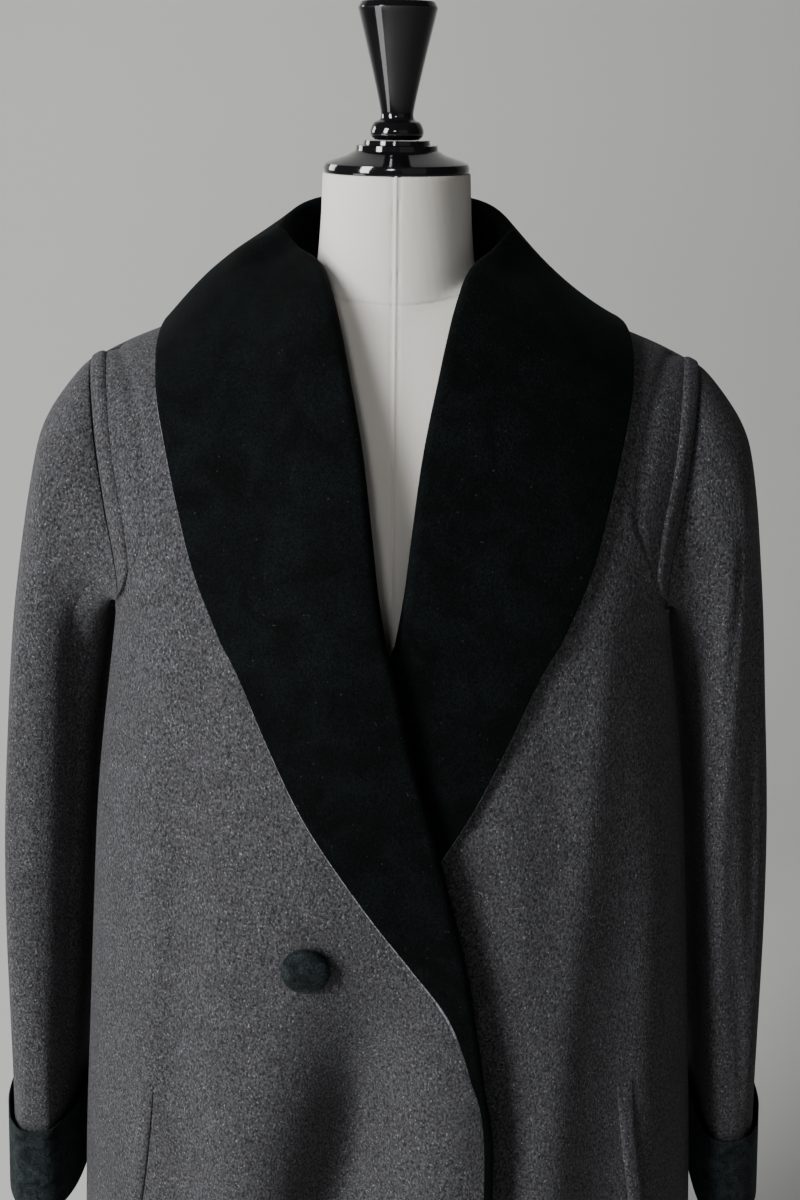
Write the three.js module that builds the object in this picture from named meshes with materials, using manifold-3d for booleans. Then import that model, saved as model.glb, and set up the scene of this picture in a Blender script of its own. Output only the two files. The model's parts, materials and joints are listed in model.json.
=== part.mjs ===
import * as THREE from "three";
import { mergeVertices } from "three/addons/utils/BufferGeometryUtils.js";
import Module from "manifold-3d";

// A wool overcoat with a velvet shawl collar, on a canvas dress form with a turned cap and stand.
// Millimetres, +Z up. The front faces -Y and the coat's left side is at +X.
// The origin is the middle of the base's flat underside.

// Thickness of the cloths, the gap at seams, and the looser gap where one cloth lies on another
const WOOL = 2.2;
const UNDER_WOOL = 1.3;
const VELVET = 1.5;
const GAP = 0.35;
const LOOSE = 0.8;

// Heights
const HEM = 345;
const UNDERARM = 1190;
const SHOULDER_LEVEL = 1390;
const SLEEVE_END = 641;
const CUFF_TOP = 719;

// The coat's front and back, and its right and left, as signs of Y and X
const FRONT = -1;
const BACK = 1;
const RIGHT = -1;
const LEFT = 1;

// How chest and back curve over to the shoulder seam
const CHEST_CURVE = 1.95;
const BACK_CURVE = 2.8;

// The coat's body: half width, depth from the side seam to the middle of the front and back, and
// how square it is seen from above: 2 is an ellipse, and more is squarer. Up to the underarm a
// level is a height. Above it, levels run on to 1390 at the shoulder seam.
const BODY = [
  { level: 345, half: 287, front: 186, back: 168, square: 2.4 },
  { level: 610, half: 270, front: 180, back: 156, square: 2.5 },
  { level: 717, half: 263, front: 177, back: 152, square: 2.5 },
  { level: 820, half: 254.5, front: 173, back: 147, square: 2.5 },
  { level: 917, half: 246.5, front: 169, back: 142, square: 2.5 },
  { level: 1010, half: 238.5, front: 163, back: 136, square: 2.5 },
  { level: 1063, half: 232, front: 159, back: 132, square: 2.55 },
  { level: 1115, half: 224, front: 154, back: 127, square: 2.65 },
  { level: 1160, half: 217, front: 150, back: 122, square: 2.75 },
  { level: 1190, half: 214, front: 147, back: 119, square: 2.8 },
  { level: 1240, half: 226, front: 147, back: 119, square: 2.7 },
  { level: 1300, half: 243, front: 147, back: 119, square: 2.6 },
  { level: 1390, half: 262, front: 147, back: 119, square: 2.5 },
];

// Height of the shoulder seam at a distance from the middle
const SHOULDER = [
  { out: 0, top: 1444 },
  { out: 58, top: 1437 },
  { out: 110, top: 1415 },
  { out: 165, top: 1391 },
  { out: 200, top: 1377 },
  { out: 228, top: 1363 },
  { out: 262, top: 1345 },
];

// The armhole's edge, the same on front and back, from the side seam along its foot and up
const ARMHOLE = [
  { step: 0, level: 1190, out: 214 },
  { step: 1, level: 1190.2, out: 213.5 },
  { step: 2, level: 1190.8, out: 211.2 },
  { step: 3, level: 1192.6, out: 206.5 },
  { step: 4, level: 1198, out: 202 },
  { step: 5, level: 1208, out: 201 },
  { step: 6, level: 1224, out: 203.2 },
  { step: 7, level: 1243, out: 207.6 },
  { step: 8, level: 1266, out: 212.2 },
  { step: 9, level: 1292, out: 216.6 },
  { step: 10, level: 1318, out: 220.2 },
  { step: 11, level: 1345, out: 223.5 },
  { step: 12, level: 1369, out: 226 },
  { step: 13, level: 1390, out: 228 },
];

// The right front's edge, from the hem up: a plain edge, then the line on which the collar rolls
// over, and at last the seam round the neck. The left front's edge is its mirror image.
const FRONT_EDGE = [
  { level: 345, across: 70 },
  { level: 799, across: 72 },
  { level: 868, across: 62 },
  { level: 930, across: 52 },
  { level: 1000, across: 37 },
  { level: 1065, across: 22 },
  { level: 1115, across: 9 },
  { level: 1174, across: -3 },
  { level: 1209, across: -14 },
  { level: 1231, across: -19 },
  { level: 1259, across: -26 },
  { level: 1294, across: -38 },
  { level: 1335, across: -51 },
  { level: 1358, across: -60 },
  { level: 1372, across: -71 },
  { level: 1390, across: -84 },
];

// The seam round the back of the neck: levels below the shoulder seam, at places across
const NECK_SEAM = [
  { out: 0, turn: 58 },
  { out: 34, turn: 53 },
  { out: 62, turn: 37 },
  { out: 78, turn: 16 },
  { out: 84, turn: 0 },
];

// Folds of the coat's body. at: place across at the level of full; lean: how far it moves across
// per unit of height above that; wide: half width there; spread: how much wider per unit below;
// out: height of a ridge, or depth of a trough if negative; top: level where it has faded out.
const FOLDS = [
  { side: FRONT, at: -24, lean: -0.02, wide: 40, spread: 0.05, out: -17, full: 700, top: 985 },
  { side: FRONT, at: 44, lean: -0.02, wide: 26, spread: 0.03, out: 4, full: 780, top: 960 },
  { side: FRONT, at: -196, lean: 0.03, wide: 17, spread: 0.02, out: 5, full: 1050, top: 1180 },
  { side: FRONT, at: -158, lean: 0.02, wide: 22, spread: 0.03, out: -4, full: 820, top: 1120 },
  { side: FRONT, at: -110, lean: 0.03, wide: 30, spread: 0.04, out: 4, full: 700, top: 980 },
  { side: FRONT, at: 152, lean: 0.05, wide: 14, spread: 0.03, out: 5, full: 1130, top: 1260 },
  { side: FRONT, at: 176, lean: 0.01, wide: 25, spread: 0.02, out: -8, full: 940, top: 1090 },
  { side: FRONT, at: 206, lean: -0.01, wide: 16, spread: 0.02, out: 5, full: 1000, top: 1130 },
  { side: FRONT, at: 122, lean: 0.02, wide: 30, spread: 0.04, out: 6, full: 720, top: 960 },
  { side: BACK, at: -12, lean: 0.02, wide: 38, spread: 0.05, out: -8, full: 760, top: 1080 },
  { side: BACK, at: -92, lean: 0.05, wide: 34, spread: 0.05, out: 8, full: 780, top: 1120 },
  { side: BACK, at: 84, lean: -0.06, wide: 36, spread: 0.04, out: 9, full: 740, top: 1070 },
  { side: BACK, at: -168, lean: 0.03, wide: 26, spread: 0.03, out: -6, full: 860, top: 1110 },
  { side: BACK, at: 160, lean: -0.02, wide: 28, spread: 0.03, out: -7, full: 800, top: 1060 },
];

// The sleeve's outer line and inner line as seen from the front, and its half depths in Y.
// The first row is the armhole; the last rows are level, where the cuff sits.
const SLEEVE = [
  { run: 0, topOut: 228, topZ: 1363, lowOut: 214.5, lowZ: 1190, front: 74, back: 74, mid: 0 },
  { run: 1, topOut: 241, topZ: 1354, lowOut: 219, lowZ: 1170, front: 76, back: 76, mid: 0 },
  { run: 2, topOut: 254, topZ: 1337, lowOut: 223, lowZ: 1146, front: 77, back: 78, mid: 1 },
  { run: 3, topOut: 265, topZ: 1316, lowOut: 227, lowZ: 1120, front: 78, back: 80, mid: 2 },
  { run: 4, topOut: 275, topZ: 1280, lowOut: 231.5, lowZ: 1092, front: 78, back: 82, mid: 3 },
  { run: 5, topOut: 285, topZ: 1235, lowOut: 237, lowZ: 1054, front: 78, back: 84, mid: 4 },
  { run: 6, topOut: 296, topZ: 1175, lowOut: 242.5, lowZ: 1006, front: 78, back: 85, mid: 5 },
  { run: 7, topOut: 306, topZ: 1098, lowOut: 248.5, lowZ: 948, front: 78, back: 85, mid: 6 },
  { run: 8, topOut: 316, topZ: 1010, lowOut: 254.5, lowZ: 884, front: 77, back: 84, mid: 7 },
  { run: 9, topOut: 323, topZ: 920, lowOut: 260.5, lowZ: 815, front: 76, back: 82, mid: 8 },
  { run: 10, topOut: 327, topZ: 825, lowOut: 266, lowZ: 765, front: 76, back: 80, mid: 8 },
  { run: 11, topOut: 330, topZ: 735, lowOut: 271, lowZ: 728, front: 76, back: 79, mid: 8 },
  { run: 12, topOut: 333, topZ: 641, lowOut: 276, lowZ: 641, front: 75, back: 78, mid: 8 },
];
// How far the inner side of the sleeve follows the round of the body, to front and back, and how
// much closer the left sleeve hangs
const SLEEVE_WRAP = 15;
const LEFT_CLOSER = 8;

// Folds of the sleeves, in degrees round from the shoulder over the front, and in runs down
const SLEEVE_FOLDS = [
  { round: 62, run: 6.2, turn: 24, length: 3.2, slant: 4, out: -7 },
  { round: 112, run: 8.4, turn: 18, length: 2.6, slant: -3, out: 4 },
  { round: 30, run: 9.4, turn: 22, length: 2.4, slant: 3, out: -4 },
  { round: 300, run: 5.6, turn: 26, length: 3.0, slant: -4, out: -6 },
  { round: 255, run: 8.6, turn: 20, length: 2.4, slant: 3, out: -5 },
  { round: 335, run: 3.0, turn: 16, length: 1.6, slant: 0, out: -3 },
];

// The right half of the shawl collar and its facing, cut in one, as stations from the middle of
// the back, round the neck and down to the hem. turn: levels past the shoulder seam to the seam or
// roll line, below 0 on the front; on the back the place across is given and leads to it. edge and
// edgeTurn: the outer edge. stand: how high the roll stands over the coat. under: 0 where the
// velvet goes straight down behind the roll, 1 where it turns flat under the front.
const COLLAR = [
  { run: 0, across: 0, turn: 58, edge: 0, edgeTurn: 104, stand: 51, under: 0 },
  { run: 1, across: -34, turn: 53, edge: -62, edgeTurn: 97, stand: 49, under: 0 },
  { run: 2, across: -62, turn: 37, edge: -116, edgeTurn: 74, stand: 43, under: 0 },
  { run: 3, across: -78, turn: 16, edge: -150, edgeTurn: 36, stand: 35, under: 0 },
  { run: 4, across: -84, turn: 0, edge: -163, edgeTurn: 4, stand: 28, under: 0 },
  { run: 5, across: -80, turn: -9, edge: -167, edgeTurn: -22, stand: 21, under: 0 },
  { run: 6, across: -71, turn: -19, edge: -168, edgeTurn: -44, stand: 14, under: 0 },
  { run: 7, across: -60, turn: -32, edge: -167, edgeTurn: -62, stand: 9, under: 0.1 },
  { run: 8, across: -51, turn: -55, edge: -164, edgeTurn: -86, stand: 6, under: 0.5 },
  { run: 9, across: -38, turn: -96, edge: -157, edgeTurn: -112, stand: 4, under: 1 },
  { run: 10, across: -26, turn: -131, edge: -147, edgeTurn: -142, stand: 3, under: 1 },
  { run: 11, across: -17, turn: -168, edge: -134, edgeTurn: -172, stand: 2, under: 1 },
  { run: 12, across: -3, turn: -216, edge: -106, edgeTurn: -214, stand: 1, under: 1 },
  { run: 13, across: 9, turn: -275, edge: -80, edgeTurn: -272, stand: 1, under: 1 },
  { run: 14, across: 22, turn: -325, edge: -55, edgeTurn: -324, stand: 1, under: 1 },
  { run: 15, across: 37, turn: -390, edge: -16, edgeTurn: -389, stand: 1, under: 1 },
  { run: 16, across: 47, turn: -437, edge: 15, edgeTurn: -436, stand: 1, under: 1 },
  { run: 17, across: 54, turn: -475, edge: 41, edgeTurn: -475, stand: 0, under: 1 },
  { run: 18, across: 62, turn: -522, edge: 56.5, edgeTurn: -522, stand: 0, under: 1 },
  { run: 19, across: 72, turn: -591, edge: 69, edgeTurn: -591, stand: 0, under: 1 },
  { run: 20, across: 71, turn: -800, edge: 68, edgeTurn: -800, stand: 0, under: 1 },
  { run: 21, across: 70, turn: -1044.5, edge: 67, edgeTurn: -1044.5, stand: 0, under: 1 },
];
// How much fuller than flat the fall arches over the shoulder, on the right and on the left
const FULL_RIGHT = 8;
const FULL_LEFT = -2;
const SHOULDER_RUN = 4;
const UNDER_COLLAR_END = 17.6;
const UNDER_INSET = 3;
const UNDER_SHOWS = 1;
const ROLL_RADIUS = 4.8;
const FACING_TURN = 11;

// How far the right front stands over the left one where it laps, and the width of its slope
const LAP = 12.7;
const LAP_LOOSE = 1.2;
const LAP_SLOPE = 160;
const LAP_MARGIN = 14;

// The stitched band along the armhole, and the slanted pocket welt on each front
const BAND = { wideTop: 15, wideLow: 22, thick: 2, topStep: 12.8, lowStep: 4.3, inset: 1.5, foot: 0.6 };
const POCKET = { wide: 13, thick: 2, over: 1.2, top: 822, low: 652, topAt: 186, lowAt: 212 };

// The covered button
const BUTTON = { across: -60, height: 952, radius: 18, thick: 11 };

// The canvas form: half width and depths at each height, up to the underarm
const FORM = [
  { level: 730, half: 150, front: 108, back: 104, square: 2.3 },
  { level: 830, half: 166, front: 112, back: 116, square: 2.3 },
  { level: 920, half: 152, front: 108, back: 104, square: 2.3 },
  { level: 1020, half: 122, front: 98, back: 82, square: 2.3 },
  { level: 1100, half: 140, front: 116, back: 92, square: 2.4 },
  { level: 1190, half: 166, front: 125, back: 98, square: 2.5 },
  { level: 1260, half: 184, front: 125, back: 98, square: 2.5 },
  { level: 1390, half: 200, front: 125, back: 98, square: 2.5 },
];
const FORM_BOTTOM = 730;
const FORM_PLATE = 171;
const FORM_SEAT = 0.9;
const FORM_BACK_CURVE = 2.5;
const NECK_TOP = 1500;

// Turned cap and knob over the neck, as radius and height over the neck's top
const CAP = [
  { r: 52, z: 0 },
  { r: 52.6, z: 3 },
  { r: 51.5, z: 6 },
  { r: 47, z: 8 },
  { r: 36, z: 11.5 },
  { r: 29.6, z: 15 },
  { r: 29.2, z: 18.5 },
  { r: 24, z: 19.2 },
  { r: 23.4, z: 22 },
];
const KNOB = [
  { r: 16, z: 22.4 },
  { r: 18.6, z: 25 },
  { r: 19, z: 29 },
  { r: 16.5, z: 34 },
  { r: 12, z: 37 },
  { r: 12.6, z: 46 },
  { r: 19.5, z: 76 },
  { r: 27.2, z: 107 },
  { r: 27.8, z: 110 },
  { r: 26.4, z: 113 },
  { r: 19, z: 115 },
];
const POLE = { radius: 17, collar: 32, collarTall: 16 };
const BASE = { radius: 200, tall: 30 };

const wasm = await Module();
wasm.setup();

// Value of a table's column where its key column has the given value, on a smooth curve
function along(table, key, column, value) {
  const last = table.length - 1;
  const slope = (row) => {
    const before = table[Math.max(row - 1, 0)];
    const after = table[Math.min(row + 1, last)];
    return (after[column] - before[column]) / (after[key] - before[key]);
  };
  let row = 0;
  while (row < last - 1 && value > table[row + 1][key]) row += 1;
  const from = table[row];
  const to = table[row + 1];
  const span = to[key] - from[key];
  const t = THREE.MathUtils.clamp((value - from[key]) / span, 0, 1);
  const rise = to[column] - from[column];
  const ease = t * t * (3 - 2 * t);
  const start = slope(row) * span * t * (1 - t) * (1 - t);
  const end = slope(row + 1) * span * t * t * (1 - t);
  return from[column] + rise * ease + start - end;
}

const smooth = (from, to, value) => THREE.MathUtils.smoothstep(value, from, to);
const mix = (from, to, share) => from + (to - from) * share;

// Outward push of all folds at a place on the body
function foldOut(side, x, level) {
  let sum = 0;
  for (const fold of FOLDS) {
    if (fold.side !== side) continue;
    const below = fold.full - level;
    const wide = fold.wide + Math.max(0, below) * fold.spread;
    const off = (x - fold.at + fold.lean * below) / wide;
    sum += fold.out * Math.exp(-off * off) * (1 - smooth(fold.full, fold.top, level));
  }
  return sum;
}

// A point of the coat's body: across at x, at a level, on front or back, moved out by some mm
function coatPoint(x, level, side, out = 0) {
  const half = along(BODY, "level", "half", level);
  const depth = along(BODY, "level", side === FRONT ? "front" : "back", Math.min(level, UNDERARM));
  const square = along(BODY, "level", "square", level);
  const share = Math.min(Math.abs(x) / half, 1);
  const round = Math.pow(1 - Math.pow(share, square), 1 / square);
  const over = THREE.MathUtils.clamp((level - UNDERARM) / (SHOULDER_LEVEL - UNDERARM), 0, 1);
  const curve = 2 / (side === FRONT ? CHEST_CURVE : BACK_CURVE);
  const angle = (over * Math.PI) / 2;
  const back = over === 1 ? 0 : Math.pow(Math.cos(angle), curve);
  const push = out + foldOut(side, x, level) * round;
  const top = along(SHOULDER, "out", "top", Math.abs(x)) + 1.08 * out;
  const z = level <= UNDERARM ? level : UNDERARM + (top - UNDERARM) * Math.pow(Math.sin(angle), curve);
  return new THREE.Vector3(
    (x * (half + out)) / half,
    side * (GAP / 2 + (depth + push) * round * back),
    z,
  );
}

// The same with a level that runs on over the shoulder seam: below 0 on the front, above on the back
function turnPoint(x, turn, out = 0) {
  return coatPoint(x, SHOULDER_LEVEL - Math.abs(turn), turn < 0 ? FRONT : BACK, out);
}

// How far the right front is lifted by the left front and its collar under it
function lap(x, level) {
  const leftEdge = -along(FRONT_EDGE, "level", "across", level);
  return LAP * smooth(leftEdge - LAP_SLOPE, leftEdge - LAP_MARGIN, x);
}

const liftOf = (hand, x, level) => (hand === RIGHT ? lap(x, level) : 0);

// A closed wall between an outer and an inner grid of points. ring: the columns close on themselves
function shell(outer, inner, ring = false) {
  const rows = outer.length;
  const columns = outer[0].length;
  const position = [];
  for (const grid of [outer, inner]) {
    for (const row of grid) {
      for (const p of row) position.push(p.x, p.y, p.z);
    }
  }
  const at = (layer, i, j) => (layer * rows + i) * columns + (j % columns);
  const index = [];
  const quad = (a, b, c, d) => index.push(a, b, c, a, c, d);
  const steps = ring ? columns : columns - 1;
  for (let i = 0; i < rows - 1; i += 1) {
    for (let j = 0; j < steps; j += 1) {
      quad(at(0, i, j), at(0, i, j + 1), at(0, i + 1, j + 1), at(0, i + 1, j));
      quad(at(1, i, j), at(1, i + 1, j), at(1, i + 1, j + 1), at(1, i, j + 1));
    }
  }
  for (let j = 0; j < steps; j += 1) {
    quad(at(1, 0, j), at(1, 0, j + 1), at(0, 0, j + 1), at(0, 0, j));
    quad(at(0, rows - 1, j), at(0, rows - 1, j + 1), at(1, rows - 1, j + 1), at(1, rows - 1, j));
  }
  for (let i = 0; i < rows - 1 && !ring; i += 1) {
    const end = columns - 1;
    quad(at(0, i, 0), at(0, i + 1, 0), at(1, i + 1, 0), at(1, i, 0));
    quad(at(1, i, end), at(1, i + 1, end), at(0, i + 1, end), at(0, i, end));
  }
  return facingOut(position, index);
}

// A geometry whose faces point out, whichever way its grid ran
function facingOut(position, index) {
  const corner = (k) => new THREE.Vector3().fromArray(position, 3 * index[k]);
  let volume = 0;
  for (let k = 0; k < index.length; k += 3) {
    volume += corner(k).dot(corner(k + 1).cross(corner(k + 2)));
  }
  if (volume < 0) index.reverse();
  const geometry = new THREE.BufferGeometry();
  geometry.setAttribute("position", new THREE.Float32BufferAttribute(position, 3));
  geometry.setIndex(index);
  return geometry;
}

// The grid moved inwards by a thickness, along each point's own normal, which hand turns round
function inward(grid, thick, ring, hand) {
  const rows = grid.length;
  const columns = grid[0].length;
  const pick = (i, j) => {
    const column = ring ? (j + columns) % columns : THREE.MathUtils.clamp(j, 0, columns - 1);
    return grid[THREE.MathUtils.clamp(i, 0, rows - 1)][column];
  };
  return grid.map((row, i) =>
    row.map((p, j) => {
      const down = pick(i + 1, j).clone().sub(pick(i - 1, j));
      const round = pick(i, j + 1).clone().sub(pick(i, j - 1));
      const normal = down.cross(round).normalize().multiplyScalar(hand);
      return p.clone().addScaledVector(normal, thick);
    }),
  );
}

const gridOf = (rows, columns, point) =>
  Array.from({ length: rows + 1 }, (_, i) =>
    Array.from({ length: columns + 1 }, (_, j) => point(i / rows, j / columns)),
  );

// Level of a row of a body panel: even up to the underarm, then closer together near both ends
const LOW_ROWS = 11;
const HIGH_ROWS = ARMHOLE.length - 1;
const TOP_ROW = LOW_ROWS + HIGH_ROWS;
function rowLevel(row, top = SHOULDER_LEVEL) {
  if (row <= LOW_ROWS) return mix(HEM, UNDERARM, row / LOW_ROWS);
  const up = (row - LOW_ROWS) / HIGH_ROWS;
  return mix(UNDERARM, top, (1 - Math.cos(Math.PI * up)) / 2);
}

// The side seam or the armhole's edge at a row
function sideEdge(row) {
  if (row <= LOW_ROWS) {
    const level = rowLevel(row);
    return { level, out: along(BODY, "level", "half", level) };
  }
  const step = row - LOW_ROWS;
  return { level: along(ARMHOLE, "step", "level", step), out: along(ARMHOLE, "step", "out", step) };
}

// Angle round a section at a place across, from the right side over the middle, and back
function angleOf(x, half, square) {
  const angle = Math.acos(Math.pow(Math.min(Math.abs(x) / half, 1), square / 2));
  return x < 0 ? angle : Math.PI - angle;
}

function acrossAt(angle, half, square) {
  const cosine = Math.cos(angle);
  return -half * Math.sign(cosine) * Math.pow(Math.abs(cosine), 2 / square);
}

const angleAt = (x, level) =>
  angleOf(x, along(BODY, "level", "half", level), along(BODY, "level", "square", level));

// A place on a panel: a share of the way round the body between two places. Rows are level in the
// middle, and fan out from the armhole's foot at the side.
const FAN = 0.42;
function placeBetween(from, to, share, level, fromSide) {
  const angle = mix(angleAt(from.x, from.level), angleAt(to.x, to.level), share);
  const here = mix(from.level, level, smooth(0, FAN, fromSide));
  const half = along(BODY, "level", "half", here);
  return { x: acrossAt(angle, half, along(BODY, "level", "square", here)), level: here };
}

// A front panel's surface, from the side seam and armhole to its edge, which stays inside the roll
const FRONT_SHARES = [0, 0.09, 0.18, 0.27, 0.36, 0.45, 0.54, 0.63, 0.72, 0.8, 0.87, 0.94, 1];
const EDGE_INSET = 1.6;
function frontGrid(hand, out) {
  return gridOf(TOP_ROW, FRONT_SHARES.length - 1, (up, over) => {
    const row = up * TOP_ROW;
    const side = sideEdge(row);
    const level = rowLevel(row);
    const share = FRONT_SHARES[Math.round(over * (FRONT_SHARES.length - 1))];
    const edge = hand * (EDGE_INSET - along(FRONT_EDGE, "level", "across", level));
    const from = { x: hand * side.out, level: side.level };
    const place = placeBetween(from, { x: edge, level }, share, level, share);
    return coatPoint(place.x, place.level, FRONT, out + liftOf(hand, place.x, place.level));
  });
}

// The back panel, up to the shoulder seams and the seam round the neck. Its columns are given
// by their places across at the shoulder seam.
const BACK_COLUMNS = [0, 34, 60, 75, 84, 118, 156, 194, 228];
function backPanel() {
  const places = [...BACK_COLUMNS.slice(1).map((x) => -x).reverse(), ...BACK_COLUMNS];
  const side = angleAt(places[0], SHOULDER_LEVEL);
  const shares = places.map((x) => (angleAt(x, SHOULDER_LEVEL) - side) / (Math.PI - 2 * side));
  const layer = (out) =>
    gridOf(TOP_ROW, places.length - 1, (up, over) => {
      const row = up * TOP_ROW;
      const column = Math.round(over * (places.length - 1));
      const share = shares[column];
      const { level, out: edge } = sideEdge(row);
      const neck = Math.max(0, along(NECK_SEAM, "out", "turn", Math.abs(places[column])));
      const middle = rowLevel(row, SHOULDER_LEVEL - neck);
      const from = { x: -edge, level };
      const place = placeBetween(from, { x: edge, level }, share, middle, Math.min(share, 1 - share));
      const x = row === TOP_ROW ? places[column] : place.x;
      return coatPoint(x, place.level, BACK, out);
    });
  return shell(layer(0), layer(-WOOL));
}

// A point on the flat facets of a panel, at fractions of its rows and columns, moved out
function onFacets(grid, row, column, out = 0) {
  const i = Math.min(Math.floor(row), grid.length - 2);
  const j = Math.min(Math.floor(column), grid[0].length - 2);
  const up = row - i;
  const over = column - j;
  const start = grid[i][j];
  const end = grid[i + 1][j + 1];
  const turn = over >= up ? grid[i][j + 1] : grid[i + 1][j];
  const first = turn.clone().sub(start);
  const second = end.clone().sub(turn);
  const normal = first.clone().cross(second).normalize();
  const point = start.clone();
  point.addScaledVector(first, Math.max(over, up)).addScaledVector(second, Math.min(over, up));
  const outward = Math.sign(normal.x * point.x + normal.y * point.y);
  return point.addScaledVector(normal, outward * out);
}

// Row and column fractions of a panel's facets at a place below the underarm
function spotOn(grid, x, level) {
  const row = (LOW_ROWS * (level - HEM)) / (UNDERARM - HEM);
  const across = (column) => onFacets(grid, row, column).x;
  const side = across(0);
  let column = 0;
  while (column < grid[0].length - 2 && (across(column + 1) - x) * (side - x) > 0) column += 1;
  return { row, column: column + (x - across(column)) / (across(column + 1) - across(column)) };
}

// A point of a sleeve: angle in degrees from the shoulder over the front, run down the sleeve
const SLEEVE_SQUARE = 2.3;
function sleevePoint(hand, round, run, out) {
  const get = (column) => along(SLEEVE, "run", column, run);
  const angle = THREE.MathUtils.degToRad(round);
  const bend = (value) => Math.sign(value) * Math.pow(Math.abs(value), 2 / SLEEVE_SQUARE);
  const topOut = get("topOut") - (hand === LEFT ? LEFT_CLOSER * smooth(3, 7, run) : 0);
  const topZ = get("topZ");
  const lowOut = get("lowOut");
  const lowZ = get("lowZ");
  const width = Math.hypot(topOut - lowOut, topZ - lowZ);
  let push = out;
  for (const fold of SLEEVE_FOLDS) {
    const off = (round - fold.round - fold.slant * (run - fold.run)) / fold.turn;
    const away = (run - fold.run) / fold.length;
    push += fold.out * Math.exp(-off * off - away * away);
  }
  const reach = (0.5 * width + push) / width;
  const deep = push + (Math.sin(angle) > 0 ? get("front") : get("back"));
  const up = bend(Math.cos(angle)) * reach;
  const inner = (1 - Math.cos(angle)) / 2;
  const wrap = SLEEVE_WRAP * Math.pow(Math.sin(angle), 2) * inner * smooth(3, 7, run);
  return new THREE.Vector3(
    hand * ((topOut + lowOut) / 2 + up * (topOut - lowOut) - wrap),
    get("mid") - bend(Math.sin(angle)) * deep,
    (topZ + lowZ) / 2 + up * (topZ - lowZ),
  );
}

// The armhole's edge at a column of the sleeve, moved out over the gap to it
const SLEEVE_GAP = 0.8;
const SLEEVE_COLUMNS = 2 * HIGH_ROWS;
function armholePoint(hand, column, out) {
  const { level, out: edge } = sideEdge(LOW_ROWS + Math.abs(HIGH_ROWS - column));
  const at = (push) => coatPoint(hand * edge, level, column <= HIGH_ROWS ? FRONT : BACK, push);
  const point = at(0);
  const foot = smooth(HIGH_ROWS - 6, HIGH_ROWS - 3, HIGH_ROWS - Math.abs(HIGH_ROWS - column));
  const outward = at(1).sub(point).normalize().lerp(new THREE.Vector3(0, 0, -1), foot).normalize();
  point.addScaledVector(outward, out);
  if (column === 0 || column === HIGH_ROWS) point.y = 0;
  point.x += hand * SLEEVE_GAP;
  return point;
}

const SLEEVE_ROWS = 14;
const LAST_RUN = SLEEVE[SLEEVE.length - 1].run;
const SET_RUN = 3.2;
function sleeveGrid(hand, out) {
  return Array.from({ length: SLEEVE_ROWS + 1 }, (_, i) => {
    const run = LAST_RUN * Math.pow(i / SLEEVE_ROWS, 1.1);
    return Array.from({ length: SLEEVE_COLUMNS }, (_, j) => {
      const plain = sleevePoint(hand, (j * 360) / SLEEVE_COLUMNS, run, out);
      return armholePoint(hand, j, out).lerp(plain, smooth(0, SET_RUN, run));
    });
  });
}

// Columns of the sleeve's tube, drawn in at both seams by half the gap
function sleeveStrip(outer, inner, from, to) {
  const strip = (row) =>
    Array.from({ length: to - from + 1 }, (_, j) => row[(from + j + row.length) % row.length].clone());
  const outerRows = outer.map(strip);
  const innerRows = inner.map(strip);
  const last = to - from;
  for (let i = 0; i < outerRows.length; i += 1) {
    for (const [end, next] of [[0, 1], [last, last - 1]]) {
      const step = outerRows[i][next].clone().sub(outerRows[i][end]).setLength(GAP / 2 + 0.15);
      outerRows[i][end].add(step);
      innerRows[i][end].add(step);
    }
  }
  return shell(outerRows, innerRows);
}

const SEAM_COLUMN = 8;
function sleeves(hand) {
  const outer = sleeveGrid(hand, 0);
  const inner = sleeveGrid(hand, -WOOL);
  return {
    upper: sleeveStrip(outer, inner, -SEAM_COLUMN, SEAM_COLUMN),
    under: sleeveStrip(outer, inner, SEAM_COLUMN, SLEEVE_COLUMNS - SEAM_COLUMN),
  };
}

// Run down the sleeve at a height, near the cuff where its rings are level
function runAt(height) {
  const last = SLEEVE[SLEEVE.length - 1];
  const before = SLEEVE[SLEEVE.length - 2];
  return last.run - (height - last.topZ) / (before.topZ - last.topZ);
}

// The cuff: turned back over the sleeve's end, and tucked a little way up inside
const CUFF_OUT = 4.9;
const CUFF_STEPS = 3;
const CUFF_COLUMNS = 20;
const CUFF_TUCK = 16;
function cuff(hand) {
  const path = [];
  for (const share of [0, 0.5, 1]) {
    path.push({ z: mix(CUFF_TOP, SLEEVE_END, share), out: CUFF_OUT + share });
  }
  for (let step = 1; step <= CUFF_STEPS; step += 1) {
    const angle = (step * Math.PI) / CUFF_STEPS;
    const out = mix(CUFF_OUT + 1, -CUFF_OUT, (1 - Math.cos(angle)) / 2);
    path.push({ z: SLEEVE_END - CUFF_OUT * Math.sin(angle), out });
  }
  path.push({ z: SLEEVE_END + CUFF_TUCK, out: -CUFF_OUT });
  const grid = path.map(({ z, out }) =>
    Array.from({ length: CUFF_COLUMNS }, (_, j) => {
      const point = sleevePoint(hand, (j * 360) / CUFF_COLUMNS, Math.min(runAt(z), LAST_RUN), out);
      return point.setZ(z);
    }),
  );
  return shell(grid, inward(grid, VELVET, true, hand), true);
}

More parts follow.
